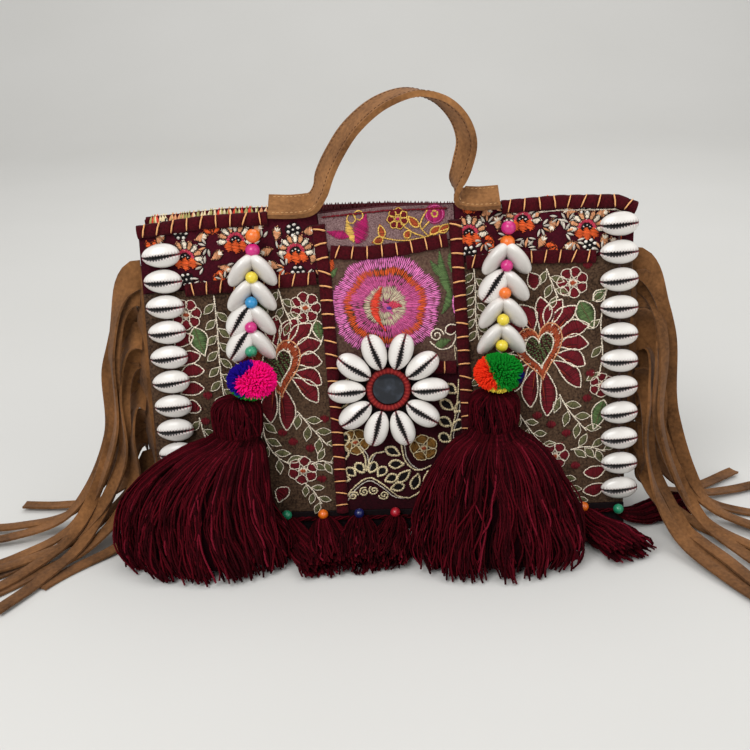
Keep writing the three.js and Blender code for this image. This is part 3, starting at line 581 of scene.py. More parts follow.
front_top = line(
    [(-167, 222), (-122, 228), (-78, 230), (-46, 229), (-1, 232)]
    + [(76, 232), (116, 235), (154, 235), (167, 230)]
)
back_top = line([(-167, 221), (-110, 226), (0, 226), (167, 221)])
left_seam = line([(16, -36), (100, -38), (187, -42), (230, -46)])
right_seam = line([(16, 57), (120, 52), (194, 48), (230, 46)])
left_band = line([(-167, 177), (-111, 182), (-44, 187)])
right_band = line([(46, 193), (103, 196), (167, 195)])
centre_top = line([(-44, 204), (-16, 202), (10, 204), (50, 210)])
centre_low = line([(-40, 126), (54, 122)])
left_edge = line([(0, -HALF_WIDTH), (HEIGHT, -HALF_WIDTH)])
right_edge = line([(0, HALF_WIDTH), (HEIGHT, HALF_WIDTH)])
hem_top = line([(-HALF_WIDTH, HEM), (HALF_WIDTH, HEM)])
print("the mouth is", float(front_top(0)), "mm up in the middle")

# %% [markdown]
# ## The walls
# Front, back, gusset and hem are cloth walls with a real thickness. A Solidify modifier could thicken a
# sheet, but the back is quilted outside and smooth inside, so a slab gives each face its own points.

# %% The walls of the bag
BACK_QUILT = 1.3


def front_wall(u, v, side):
    x = lerp(-HALF_WIDTH, HALF_WIDTH, u)
    return on_front(x, lerp(PANEL_LIFT, front_top(x), v), -CLOTH * side)


def back_wall(u, v, side):
    x = lerp(-HALF_WIDTH, HALF_WIDTH, u)
    z = lerp(PANEL_LIFT, back_top(x), v)
    return on_back(x, z, -CLOTH * side + quilt(x * BACK_QUILT, z * BACK_QUILT) * (1 - side))


def hem_wall(u, v, side):
    x = lerp(-HALF_WIDTH, HALF_WIDTH, u)
    return on_front(x, lerp(PANEL_LIFT, HEM - PATCH_INSET, v), GAP + HEM_CLOTH * (1 - side))


def gusset_wall(u, v, side):
    return on_gusset(u, v, -CLOTH * side)


WALLS = [
    ("front_cloth", slab(80, 40, front_wall), MAROON_CLOTH, "front_panel", "patchwork_maroon"),
    ("back_cloth", slab(84, 52, back_wall), MAROON_CLOTH, "back_panel", "patchwork_maroon"),
    ("gusset_cloth", slab(130, 14, gusset_wall), GUSSET_CLOTH, "gusset", "gusset_brown"),
    ("hem_cloth", slab(110, 6, hem_wall), BLACK_CLOTH, "hem_band", "hem_black"),
]
front_cloth, back_cloth, gusset_cloth, hem_cloth = (
    make_piece(name, shape, finish, nodes=[node], slot=slot) for name, shape, finish, node, slot in WALLS
)

# %% [markdown]
# ## The patches
# Seven patches cover the front, each between four of the lines. A patch's side depends on the height and its
# top on the place across, so the two are worked out by turns until they agree.

# %% The seven patches
PATCH_GRID = (32, 32)
PATCH_ROUNDS = 4
PATCHES = [
    ("left_band", left_edge, left_seam, left_band, front_top, "print_band"),
    ("left_field", left_edge, left_seam, hem_top, left_band, "brown_field"),
    ("centre_top", left_seam, right_seam, centre_top, front_top, "mauve_patch"),
    ("rose", left_seam, right_seam, centre_low, centre_top, "rose_patch"),
    ("centre_low", left_seam, right_seam, hem_top, centre_low, "dark_patch"),
    ("right_band", right_seam, right_edge, right_band, front_top, "print_band"),
    ("right_field", right_seam, right_edge, hem_top, right_band, "brown_field"),
]
for name, left, right_line, low, high, slot in PATCHES:

    def patch_wall(u, v, side):
        z = np.full_like(u, HEIGHT / 2)
        for _ in range(PATCH_ROUNDS):
            x = lerp(left(z) + PATCH_INSET, right_line(z) - PATCH_INSET, u)
            z = lerp(low(x) + PATCH_INSET, high(x) - PATCH_INSET, v)
        return on_front(x, z, GAP + (PATCH + quilt(x, z)) * (1 - side))

    shape = slab(*PATCH_GRID, patch_wall)
    cloth = make_piece(f"{name}_cloth", shape, CLOTHS[slot], nodes=[f"{name}_patch"], slot=slot)
    spread = np.ptp(shape.points, axis=0) * MM

# %% [markdown]
# ## Stitches
# Everything embroidered is made of one thing: a short bit of thread lying on the cloth. A seed point holds
# where it lies, which way it runs, how long and wide it is and its colour. A Geometry Nodes tree puts a
# small spindle on every point, so thousands of stitches are one tree and one mesh for each patch.


# %% Tools for trees
def new_tree(name, sizes):
    tree = bpy.data.node_groups.new(name, "GeometryNodeTree")
    tree.interface.new_socket("Geometry", in_out="INPUT", socket_type="NodeSocketGeometry")
    for label, kind in sizes.items():
        tree.interface.new_socket(label, in_out="INPUT", socket_type="NodeSocket" + kind)
    tree.interface.new_socket("Finish", in_out="INPUT", socket_type="NodeSocketMaterial")
    tree.interface.new_socket("Geometry", in_out="OUTPUT", socket_type="NodeSocketGeometry")
    entry = tree.nodes.new("NodeGroupInput")
    return Wire(tree), {socket.name: Wire(tree, socket) for socket in entry.outputs if socket.name}


def close_tree(w, mesh, finish):
    whole = w.node("GeometryNodeRealizeInstances", inputs={0: mesh})
    smooth = w.node("GeometryNodeSetShadeSmooth", inputs={0: whole})
    done = w.node("GeometryNodeSetMaterial", inputs={0: smooth, "Material": finish})
    w.tree.links.new(done.socket, w.tree.nodes.new("NodeGroupOutput").inputs[0])
    return w.tree


def vector_column(w, name):
    return w.node("GeometryNodeInputNamedAttribute", {"data_type": "FLOAT_VECTOR"}, {"Name": name})


def tube(w, curve, sides, swell):
    """A round tube along a curve: swell is its radius, in units of a thread of radius one half."""
    profile = w.node("GeometryNodeCurvePrimitiveCircle", inputs={"Resolution": sides, "Radius": 0.5})
    inputs = {0: curve, 1: profile, "Scale": swell, "Fill Caps": True}
    return w.node("GeometryNodeCurveToMesh", inputs=inputs)


def seed_mesh(name, points, edges=(), faces=()):
    mesh = bpy.data.meshes.new(f"{name}_seed")
    mesh.from_pydata((points * MM).tolist(), edges, faces)
    return mesh


def grow(name, seed, tree, **values):
    """Runs a tree on a seed mesh and keeps the result as a plain mesh."""
    piece = bpy.data.objects.new(name, seed)
    maker = piece.modifiers.new("maker", "NODES")
    maker.node_group = tree
    sockets = {s.name: s.identifier for s in tree.interface.items_tree if s.in_out == "INPUT"}
    for label, value in values.items():
        maker[sockets[label]] = value
    SHOWN.link(piece)
    made = bpy.data.meshes.new_from_object(piece.evaluated_get(bpy.context.evaluated_depsgraph_get()))
    piece.modifiers.remove(maker)
    piece.data = made
    bpy.data.meshes.remove(seed)
    return piece


print("trees can be built and run")

# %% The tree that lays stitches
BLUNT_END = 0.22
BOW_POWER = 0.75
PLAIN_STITCH = (3, 4, 0.3, 0.0)


def stitch_tree():
    w, ports = new_tree("laid_stitches", {"Sides": "Int", "Rings": "Int", "Taper": "Float", "Bow": "Float"})
    bit = w.node("GeometryNodeCurvePrimitiveLine", inputs={"Start": (0, 0, -0.5), "End": (0, 0, 0.5)})
    bit = w.node("GeometryNodeResampleCurve", inputs={0: bit, "Count": ports["Rings"]})
    share = w.node("GeometryNodeSplineParameter")
    hump = 1 - (2 * share - 1) * (2 * share - 1)
    arch = w.node("ShaderNodeCombineXYZ", inputs={"X": ports["Bow"] * hump**BOW_POWER})
    bit = w.node("GeometryNodeSetPosition", inputs={0: bit, "Offset": arch})
    spindle = tube(w, bit, ports["Sides"], w.maths("MAXIMUM", hump ** ports["Taper"], BLUNT_END))
    axes = {0: vector_column(w, "along"), 1: vector_column(w, "up")}
    lying = w.node("FunctionNodeAxesToRotation", {"primary_axis": "Z", "secondary_axis": "X"}, axes)
    size = vector_column(w, "size")
    inputs = {0: ports["Geometry"], "Instance": spindle, "Rotation": lying, "Scale": size}
    return close_tree(w, w.node("GeometryNodeInstanceOnPoints", inputs=inputs), ports["Finish"])


def thread_finish():
    material, w = new_finish("thread", {"Roughness": 0.7, "Specular IOR Level": 0.18, "Sheen Weight": 0.04})
    fibres = noise(w, 1600)
    colour = shaded(w, tinted(w), 0.72 + 0.56 * fibres)
    return feed(material, base_color=colour, normal=raised(w, fibres, 0.4, 0.15))


STITCH_TREE = stitch_tree()
THREAD = thread_finish()


def stitch_piece(name, start, end, up_way, width, tint, thick=0.7, form=PLAIN_STITCH, **facts):
    """Lays a stitch from each start to each end, bowed towards up_way; form is sides, rings, taper, bow."""
    along = end - start
    length = np.linalg.norm(along, axis=1)
    width = np.broadcast_to(width, length.shape)
    seed = seed_mesh(name, (start + end) / 2)
    set_column(seed, "along", along)
    set_column(seed, "up", np.broadcast_to(up_way, along.shape))
    set_column(seed, "size", columns(width * thick, width, length) * MM)
    set_column(seed, "tint", tint)
    sides, rings, taper, bow = form
    piece = grow(name, seed, STITCH_TREE, Sides=sides, Rings=rings, Taper=taper, Bow=bow, Finish=THREAD)
    return dress(piece, **facts)


print("the stitch tree has", len(STITCH_TREE.nodes), "nodes")

# %% [markdown]
# ## A needleworker's vocabulary
# Motifs are drawn in the flat of the panel, x across and z up, with a few kinds of stitch: chain stitch for
# outlines, satin stitch for filled petals and leaves, and knots for dots. `Needlework` gathers them.

# %% Threads
THREADS = {
    "cream": paint(240, 226, 204),
    "white": paint(232, 226, 216),
    "grey": paint(206, 196, 182),
    "gold": paint(230, 212, 170),
    "amber": paint(236, 174, 114),
    "yellow": paint(230, 186, 92),
    "peach": paint(222, 156, 112),
    "orange": paint(224, 92, 40),
    "flame": paint(216, 66, 46),
    "rust": paint(166, 72, 38),
    "maroon": paint(106, 13, 26),
    "wine": paint(66, 10, 18),
    "olive": paint(100, 98, 64),
    "green": paint(88, 112, 66),
    "sage": paint(168, 160, 98),
    "pink": paint(238, 130, 196),
    "rose": paint(198, 60, 84),
    "magenta": paint(170, 30, 96),
    "lilac": paint(210, 94, 152),
    "beige": paint(206, 190, 160),
    "violet": paint(86, 56, 150),
    "bronze": paint(132, 92, 38),
    "black": paint(16, 9, 11),
}
print(len(THREADS), "threads in the basket")

# %% Kinds of stitch
WOBBLE = 0.13
INTO_CLOTH = (0.0, 1.0, -0.1)
THREAD_LIFT = 0.25
CHAIN_OVERLAP = 0.3
DASH_SPARE = 0.12
DASH_EDGE = 0.7
DISC_PITCH = 0.8
DISC_WIDTH = 1.15
SATIN_PITCH = 0.9
SATIN_WIDTH = 1.4
SATIN_SLANT = 0.8
PETAL_FORM = {"bend": 0.0, "blunt": 0.75, "point": 0.8, "width": 1.2, "lift": 0.15}
LEAF_FORM = {"blunt": 0.95, "point": 1.2, "width": 0.7}
LEAF_HALF = 0.22
LEAF_ANGLE = 48
SPIRAL_TURNS = 1.6


def ray(angle):
    """The panel direction at an angle in degrees, 0 to the right and 90 up."""
    return columns(np.cos(np.radians(angle)), np.sin(np.radians(angle)))


def resampled(path, pitch):
    path = np.asarray(path, float)
    return evenly(path, max(2, round(travel_along(path)[-1] / pitch) + 1))


class Needlework:
    """Stitches on the front of the bag, gathered until they are laid."""

    def __init__(self):
        self.rows = []

    def lay(self, start, end, width, thread, lift):
        ends = np.hstack([np.atleast_2d(start), np.atleast_2d(end)])
        facts = np.tile([width, lift, *THREADS[thread]], (len(ends), 1))
        self.rows.append(np.hstack([ends, facts]))

    def chain(self, path, thread="cream", width=1.3, pitch=1.6, lift=0.45):
        spots = resampled(path, pitch)
        spare = CHAIN_OVERLAP * (spots[1:] - spots[:-1])
        self.lay(spots[:-1], spots[1:] + spare, width, thread, lift)

    def knot(self, spot, size, thread, lift=0.4):
        self.lay(spot - (size / 2, 0), spot + (size / 2, 0), size, thread, lift)

    def dash(self, start, end, width, thread, edge="black"):
        spare = DASH_SPARE * (end - start)
        if edge:
            self.lay(start - spare, end + spare, width + DASH_EDGE, edge, 0.0)
        self.lay(start, end, width, thread, 0.4)

    def disc(self, spot, radius, thread, lift=0.1):
        """A round filled with straight stitches side by side."""
        across = np.arange(DISC_PITCH / 2 - radius, radius, DISC_PITCH)[:, None]
        half = np.sqrt(radius**2 - across**2) * (0, 1)
        middle = np.asarray(spot, float) + across * (1, 0)
        self.lay(middle - half, middle + half, DISC_WIDTH, thread, lift)

    def petal(self, base, tip, half, fill=None, edge="cream", **form):
        """A petal, leaf or loop from base to tip: satin stitch across it, chain stitch round it."""
        form = PETAL_FORM | form
        base, tip = np.asarray(base, float), np.asarray(tip, float)
        across = np.array([base[1] - tip[1], tip[0] - base[0]])
        length = np.linalg.norm(across)
        across = across / length
        share = np.linspace(0, 1, max(8, round(length / SATIN_PITCH)))[:, None]
        axis = lerp(base, tip, share) + across * form["bend"] * np.sin(np.pi * share)
        reach = half * np.abs(np.sin(np.pi * share ** form["blunt"])) ** form["point"] * across
        if fill:
            slant = (tip - base) / length * SATIN_SLANT
            self.lay(axis - reach - slant, axis + reach + slant, SATIN_WIDTH, fill, form["lift"])
        if edge:
            outline = np.vstack([axis + reach, (axis - reach)[::-1]])
            self.chain(outline, edge, form["width"], lift=form["lift"] + 0.3)

    def flower(self, spot, radius, petals, turn, fill="maroon", edge="cream", heart="rust"):
        spot = np.asarray(spot, float)
        half = radius * 0.84 * math.sin(math.pi / petals)
        for k in range(petals):
            reach = ray(turn + 360 / petals * k) * radius
            self.petal(spot + reach * 0.28, spot + reach, half, fill, edge, blunt=1.2, width=0.8)
        self.disc(spot, radius * 0.3, edge, 0.9)
        self.disc(spot, radius * 0.17, heart, 1.3)

    def ring(self, spot, radius, thread, width):
        self.chain(np.asarray(spot, float) + ray(np.linspace(0, 360, 28)) * radius, thread, width)

    def spray(self, path, leaves, leaf):
        """A cream stem with olive leaves on both sides by turns."""
        spots = resampled(smooth_line(path, 40), 1.0)
        self.chain(spots)
        for k, share in enumerate(np.linspace(0.08, 0.97, leaves)):
            at = int(share * (len(spots) - 2))
            run = spots[at + 1] - spots[at]
            heading = math.degrees(math.atan2(run[1], run[0]))
            way = ray(heading + (LEAF_ANGLE if k % 2 else -LEAF_ANGLE))
            tip = spots[at] + way * leaf
            self.petal(spots[at] + way, tip, leaf * LEAF_HALF, "olive", **LEAF_FORM)

    def spiral(self, spot, radius, turn, thread, width=1.3):
        share = np.linspace(0, 1, 36)
        angles = turn + 360 * SPIRAL_TURNS * share
        path = np.asarray(spot, float) + ray(angles) * (radius * (1 - 0.8 * share))[:, None]
        self.chain(path, thread, width)

    def piece(self, name):
        """Lays all the stitches, each a little off its place and off its colour, as a hand does."""
        rows = np.concatenate(self.rows)
        dice = np.random.default_rng(len(rows))
        rows[:, :4] += dice.normal(0, WOBBLE, (len(rows), 4))
        rows[:, 4] *= dice.uniform(0.85, 1.15, len(rows))
        rows[:, 6:9] *= dice.uniform(0.75, 1.2, (len(rows), 1))
        lift = rows[:, 5] + THREAD_LIFT
        start = front_skin(rows[:, 0], rows[:, 1], lift)
        end = front_skin(rows[:, 2], rows[:, 3], lift)
        return stitch_piece(name, start, end, INTO_CLOTH, rows[:, 4], rows[:, 6:])


print("stitches lie", THREAD_LIFT, "mm off the cloth")

# %% [markdown]
# ## The two brown fields
# Each field has one big flower with a green heart and flame petals, smaller rosettes and leafy sprays, all
# edged in cream chain stitch. The rows below give each motif its place on the panel in millimetres.

# %% The flower with a heart
HEART_STRETCH = 1.35
HEART_FRAME = (0.72, 1.12)
FRAME_PITCH = 0.8
FRAME_WIDTH = 1.15
KNOT_SCALES = np.arange(0.06, 0.66, 0.1)
KNOT_PITCH = 1.6
KNOT_SIZE = 1.4
FLAME_HALF = 5.8
FLAME_BEND = 2.6
HEART_TURNS = np.linspace(0, 2 * np.pi, 60)
HEART_X = 16 * np.sin(HEART_TURNS) ** 3
HEART_Z = 13 * np.cos(HEART_TURNS) - 5 * np.cos(2 * HEART_TURNS) - 2 * np.cos(3 * HEART_TURNS)
HEART = columns(HEART_X, HEART_Z - np.cos(4 * HEART_TURNS)) / 16


def flame_flower(work, spot, half, tips, lean):
    """A heart of green knots in an orange frame, with maroon flames all round."""
    spot = np.asarray(spot, float)
    slope = np.array([[math.cos(lean), -math.sin(lean)], [math.sin(lean), math.cos(lean)]])
    outline = HEART @ slope.T * (half, half * HEART_STRETCH)
    for tip in np.asarray(tips, float):
        way = (tip - spot) / np.linalg.norm(tip - spot)
        side = np.array([-way[1], way[0]])
        bend = FLAME_BEND if way[0] > 0 else -FLAME_BEND
        work.petal(spot + way * half * 0.8, tip, FLAME_HALF, "maroon", bend=bend, blunt=1.35, point=0.9)
        work.lay(spot + way * half * 1.3 + side, tip - way * 7 + side * 0.4, 0.8, "wine", 0.5)
        work.lay(spot + way * half * 1.2 - side, tip - way * 12 - side * 0.4, 0.6, "rust", 0.5)
    near, far = HEART_FRAME
    inner = resampled(spot + outline * near, FRAME_PITCH)
    outer = resampled(spot + outline * far, FRAME_PITCH * far / near)
    count = min(len(inner), len(outer))
    work.lay(inner[:count], outer[:count], FRAME_WIDTH, "rust", 0.55)
    for scale in KNOT_SCALES:
        for number, knot in enumerate(resampled(spot + outline * scale, KNOT_PITCH)):
            work.knot(knot, KNOT_SIZE, ("olive", "green", "wine")[number % 3], 0.35)
    work.chain(spot + outline * (near - 0.02), lift=0.9)
    work.chain(spot + outline * (far + 0.02), "peach", lift=0.7)


print("a heart has", len(HEART), "points")

# %% The brown fields
DOT_RADIUS = 3.2
SIDE_FLAME_HALF = 4.8


def brown_field(name, big, flowers, leaves, sprays, dots, flames):
    work = Needlework()
    for spot, radius, petals, turn in flowers:
        work.flower(spot, radius, petals, turn)
    for base, tip, half in leaves:
        work.petal(base, tip, half, "green", point=1.1)
        work.chain([base, lerp(np.array(base), np.array(tip), 0.85)], "olive", 1.2, lift=0.6)
    for path, count, leaf in sprays:
        work.spray(path, count, leaf)
    for spot in dots:
        work.disc(spot, DOT_RADIUS, "maroon", 0.4)
    for base, tip in flames:
        work.petal(base, tip, SIDE_FLAME_HALF, "maroon", bend=1.8, blunt=1.2)
    flame_flower(work, *big)
    return work.piece(name)


LEFT_BIG = (
    (-77, 127),
    14.6,
    [(-76, 162), (-62, 160), (-52, 156), (-46, 143), (-46, 129), (-47, 113), (-50, 100), (-73, 79), (-84, 85)]
    + [(-104, 100), (-108, 116), (-108, 132), (-101, 148), (-90, 160)],
    0.12,
)
LEFT_SPRAYS = [
    ([(-118, 176), (-117, 152), (-117, 133), (-116, 111), (-115, 102)], 13, 11.5),
    ([(-74, 180), (-71, 168), (-66, 156)], 5, 11),
    ([(-90, 95), (-88, 72), (-80, 59), (-72, 54)], 8, 12.5),
    ([(-65, 94), (-56, 82), (-45, 68)], 6, 12.5),
    ([(-57, 54), (-50, 56), (-42, 54)], 4, 11),
    ([(-62, 39), (-56, 32), (-51, 22)], 5, 10.5),
    ([(-96, 60), (-104, 44), (-118, 34), (-132, 32)], 7, 11.5),
    ([(-134, 90), (-130, 74), (-120, 62)], 5, 11),
]
brown_field(
    "left_field_embroidery",
    LEFT_BIG,
    [((-56, 167), 11, 7, 100), ((-138, 163), 11, 7, 60), ((-63, 49), 11, 6, 80), ((-106, 30), 10, 6, 0)],
    [((-133, 154), (-127, 134), 6.5), ((-49, 158), (-46, 143), 4), ((-88, 174), (-82, 164), 4)],
    LEFT_SPRAYS,
    [(-69, 71), (-57, 66), (-50, 42), (-76, 78), (-46, 88), (-96, 176), (-104, 168), (-127, 106), (-130, 87)],
    [((-148, 140), (-134, 148)), ((-146, 127), (-130, 135)), ((-146, 120), (-128, 124))]
    + [((-146, 107), (-129, 111)), ((-146, 96), (-132, 96)), ((-82, 24), (-74, 36))],
)
RIGHT_BIG = (
    (104, 133),
    14.2,
    [(104, 169), (119, 167), (129, 162), (138, 149), (138, 135), (136, 120), (133, 104), (110, 84), (98, 91)]
    + [(84, 102), (76, 118), (74, 134), (78, 150), (90, 164)],
    0.16,
)
RIGHT_SPRAYS = [
    ([(59, 190), (60, 172), (60, 156), (62, 141)], 12, 10.5),
    ([(108, 188), (112, 178), (116, 168)], 5, 11),
    ([(118, 100), (125, 88), (138, 72)], 6, 12.5),
    ([(127, 58), (138, 60), (152, 56)], 6, 12),
    ([(119, 43), (125, 32), (132, 19)], 6, 10.5),
    ([(90, 87), (99, 73), (108, 62)], 6, 10.5),
    ([(150, 176), (146, 150), (148, 128), (146, 112)], 7, 11.5),
    ([(66, 120), (64, 96), (70, 72), (66, 46)], 8, 11.5),
]
brown_field(
    "right_field_embroidery",
    RIGHT_BIG,
    [((126, 178), 11, 7, 75), ((116, 54), 10.5, 6, 60), ((148, 105), 9, 6, 30), ((84, 36), 10, 6, 10)],
    [((131, 165), (141, 146), 6.5), ((150, 94), (143, 72), 5.5), ((141, 165), (149, 173), 4)],
    RIGHT_SPRAYS,
    [(103, 85), (113, 78), (124, 71), (131, 46), (138, 96), (140, 114), (136, 190), (84, 182), (92, 176)],
    [((154, 44), (137, 40)), ((154, 31), (137, 26)), ((96, 186), (100, 174))],
)

# %% [markdown]
# ## The printed bands
# The two bands under the mouth carry small blossoms packed close: half flowers like fans, clusters of six
# dots, buds, trios of petals and sprays of pale dashes, most with a dark edge that lifts them off the cloth.
# A printed picture could do this, but the relief of the threads is what catches the light.

# %% Motifs of the bands
SCALLOP = {"blunt": 1.15, "point": 0.5, "width": 0.6, "lift": 0.35}
EDGED = {"blunt": 1.1, "width": 0.6}
FAN_EYE = 7.4
FAN_MOON = (3.9, 6.9)
FAN_CROWN = (6.2, 12.0)
FAN_DROPS = [(-5, 6.2), (0, 7.4), (5, 6.2)]


def fan_flower(work, spot, turn):
    """Pale scallops over a red half moon, a dark eye with white dots, and orange scallops below."""
    work.disc(spot + (0, 0.6), FAN_EYE, "black", 0.0)
    for k, angle in enumerate(np.linspace(0, 180, 9) + turn):
        foot, tip = (spot + ray(angle) * radius for radius in FAN_CROWN)
        work.petal(foot, tip, 2.3, "peach" if k % 2 else "cream", "black", **SCALLOP)
    for angle in np.linspace(4, 176, 26) + turn:
        start, end = (spot + ray(angle) * radius for radius in FAN_MOON)
        work.lay(start, end, 0.9, "rose", 0.45)
    for angle in (30, 90, 150):
        work.knot(spot + ray(angle) * 2.4, 1.1, "white", 0.6)
    for side, drop in FAN_DROPS:
        work.petal(spot + (side, 0.4), spot + (side, -drop), 3.3, "orange", None, **SCALLOP)


def dot_cluster(work, spot, turn):
    work.disc(spot, 5.2, "black", 0.0)
    work.knot(spot, 1.8, "white", 0.5)
    for angle in turn + np.arange(0, 360, 60):
        work.knot(spot + ray(angle) * 3.6, 2.3, "white", 0.5)


def bud(work, spot, turn):
    way = ray(turn)
    work.petal(spot - way * 4.6, spot + way * 4.4, 3.2, "peach", "black", **EDGED)
    for angle in (-32, 0, 32):
        work.dash(spot + way * 0.8, spot + way * 0.8 + ray(turn + angle) * 3.4, 1.5, "cream", None)


def trio(work, spot, turn):
    for angle in (-46, 0, 46):
        way = ray(turn + angle)
        work.petal(spot + way, spot + way * 7.8, 2.4, "orange", "black", **EDGED)


def dash_spray(work, spot, turn):
    for angle in (-76, -38, 0, 38, 76):
        way = ray(turn + angle)
        work.dash(spot + way * 2.0, spot + way * 6.8, 1.8, "grey" if angle else "peach")


BAND_MOTIFS = {"spray": dash_spray, "trio": trio, "bud": bud, "dots": dot_cluster, "fan": fan_flower}
print(len(BAND_MOTIFS), "motifs for the bands")

# %% The bands
LEFT_BAND = {
    "fan": [(-136, 201, 0), (-101, 212, 0), (-61, 204, 0)],
    "dots": [(-138, 218, 0), (-62, 219, 20), (-136, 187, 10), (-60, 191, 0), (-156, 184, 0), (-95, 189, 5)],
    "bud": [(-124, 215, 20), (-114, 203, 35), (-109, 194, -20), (-73, 217, 80), (-81, 205, 200)]
    + [(-51, 218, 10), (-77, 196, 150), (-152, 215, 60), (-86, 220, 30), (-49, 201, 70)]
    + [(-92, 199, 120), (-150, 198, 30)],
    "trio": [(-116, 217, 100), (-158, 206, 70), (-117, 190, -30), (-86, 193, 200), (-148, 188, 200)]
    + [(-73, 187, 20)],
    "spray": [(-120, 209, 200), (-123, 196, 160), (-101, 198, 270), (-83, 213, 130), (-73, 205, 20)]
    + [(-151, 206, 170), (-108, 222, 60), (-49, 209, 0), (-49, 194, 300), (-126, 187, 250), (-85, 186, 230)]
    + [(-110, 186, 120), (-68, 194, 160), (-129, 221, 100), (-95, 204, 330), (-146, 221, 60)],
}
RIGHT_BAND = {
    "fan": [(92, 220, 0), (135, 214, 0), (56, 212, 0)],
    "dots": [(133, 228, 0), (137, 203, 15), (56, 200, 10), (158, 214, 0)],
    "bud": [(123, 226, 170), (145, 224, 10), (112, 217, 250), (105, 206, 60), (75, 219, 90), (154, 204, 120)]
    + [(82, 201, 0), (68, 226, 30), (124, 203, 200), (147, 206, 80)],
    "trio": [(110, 228, 100), (154, 227, 60), (115, 203, 220), (73, 207, 200), (60, 226, 120)]
    + [(156, 200, 30)],
    "spray": [(104, 216, 330), (94, 209, 270), (120, 212, 20), (127, 206, 300), (80, 226, 160), (94, 202, 80)]
    + [(68, 218, 90), (66, 207, 250), (149, 215, 20), (117, 222, 250), (82, 210, 200), (104, 200, 250)]
    + [(122, 219, 90), (145, 199, 120), (67, 200, 300), (102, 227, 160)],
}
for name, motifs in (("left_band_embroidery", LEFT_BAND), ("right_band_embroidery", RIGHT_BAND)):
    work = Needlework()
    for motif, draw in BAND_MOTIFS.items():
        for x, z, turn in motifs[motif]:
            draw(work, np.array([x, z], float), turn)
    work.piece(name)

# %% [markdown]
# ## The rose and the mauve patch
# The rose is long and short stitch: rings of straight stitches that all point at the middle, in pink, orange,
# lilac and beige, on a wavy outline. Beside it are green leaves and cream spirals. A row below gives a ring's
# inner and outer share of the rose, its thread and how high it lies.

# %% The rose
ROSE_SPOT = np.array([-1.5, 166.5])
ROSE_HALF = np.array([37.0, 34.0])
ROSE_ROWS = [
    (0.10, 1.00, "lilac", -0.2),
    (0.86, 1.01, "pink", 0.3),
    (0.74, 0.90, "pink", 0.4),
    (0.61, 0.77, "orange", 0.45),
    (0.50, 0.65, "lilac", 0.35),
    (0.39, 0.54, "lilac", 0.4),
    (0.25, 0.43, "beige", 0.45),
    (0.12, 0.30, "beige", 0.5),
]
dice = np.random.default_rng(11)
rose = Needlework()
for inner, outer, thread, lift in ROSE_ROWS:
    count = int(2 * np.pi * outer * ROSE_HALF.mean() / 1.3)
    angles = np.linspace(0, 360, count, endpoint=False) + dice.uniform(0, 4)
    lobes = np.abs(np.sin(np.radians(3.5 * angles + 30)))[:, None] * smooth_step(outer, 0.3, 0.8)
    way = ray(angles) * ROSE_HALF * (0.96 + 0.07 * lobes)
    near = inner + dice.uniform(-0.03, 0.04, (count, 1))
    far = outer + dice.uniform(-0.04, 0.02, (count, 1))
    rose.lay(ROSE_SPOT + way * near, ROSE_SPOT + way * far, 1.0, thread, lift)
rose.petal((-4, 179), (-2, 150), 3.2, "flame", None, bend=-6.0, lift=1.0)
rose.petal((0, 168), (9, 166), 3.0, "rose", None, lift=1.0)
rose.petal((-3, 169), (3, 161), 2.6, "lilac", None, lift=1.1)
rose.disc((1, 165), 1.5, "violet", 1.3)
ROSE_LEAVES = [
    ((42, 173), (36, 201), 3.4),
    ((41, 184), (30, 195), 3.0),
    ((43, 176), (37, 160), 3.0),
    ((44, 188), (45, 204), 2.4),
]
for base, tip, half in ROSE_LEAVES:
    rose.petal(base, tip, half, "green", None, bend=1.2)
rose.petal((-39, 191), (-36, 199), 2.6, "orange", None)
rose.petal((-38, 187), (-34, 192), 2.0, "green", None)
rose.petal((46, 172), (46, 158), 2.4, "pink", None)
rose.petal((32, 138), (42, 141), 3.4, "green", None)
rose.spiral((33, 145), 5.0, 0, "cream")
rose.petal((39, 147), (48, 151), 3.6, "wine", "cream")
rose.chain(smooth_line([(28, 141), (36, 135), (44, 138), (47, 147)], 20), "cream")
for tip in ((49, 132), (51, 126), (46, 128)):
    rose.chain([(45, 138), tip], "beige", 0.9)
rose.piece("rose_embroidery")

# %% The mauve patch
mauve = Needlework()
mauve.flower((8, 224), 7.2, 7, 30, "maroon", "yellow", "magenta")
mauve.petal((-20, 209), (-13, 227), 6.0, "magenta", None)
mauve.petal((-25, 213), (-39, 217), 3.2, "magenta", None)
mauve.petal((-22, 210), (-26, 223), 3.4, "yellow", None)
for spot in ((-18, 227), (-23, 225)):
    mauve.ring(spot, 3.0, "yellow", 1.0)
MAUVE_STEMS = [
    [(-3, 212), (9, 209.5), (20, 210), (29, 212), (41, 216)], [(10, 221), (17, 215), (25, 211.5)],
    [(29, 211), (23, 219), (28, 229)], [(24, 216), (29, 221)],
]
for path in MAUVE_STEMS:
    mauve.chain(smooth_line(path, 24), "yellow", 1.3)
MAUVE_BUDS = [((-2, 212), (-4, 220)), ((-2, 211), (-9, 209)), ((13, 211), (16, 216))]
MAUVE_BUDS += [((22, 218), (15, 225)), ((30, 213), (37, 218)), ((36, 214), (43, 219))]
for base, tip in MAUVE_BUDS:
    mauve.petal(base, tip, 2.4, "rust", "yellow")
MAUVE_ROUND = (33, 226)
mauve.disc(MAUVE_ROUND, 7.0, "magenta", 0.2)
mauve.ring(MAUVE_ROUND, 5.6, "lilac", 0.8)
mauve.ring(MAUVE_ROUND, 2.0, "yellow", 1.6)
EDGE_LINE_DROP = 2.6
edge_x = np.linspace(-43, 41, 40)
edge_line = columns(edge_x, front_top(edge_x) - EDGE_LINE_DROP)
mauve.chain(edge_line, "maroon", 1.6, pitch=3.0)
mauve.piece("mauve_embroidery")

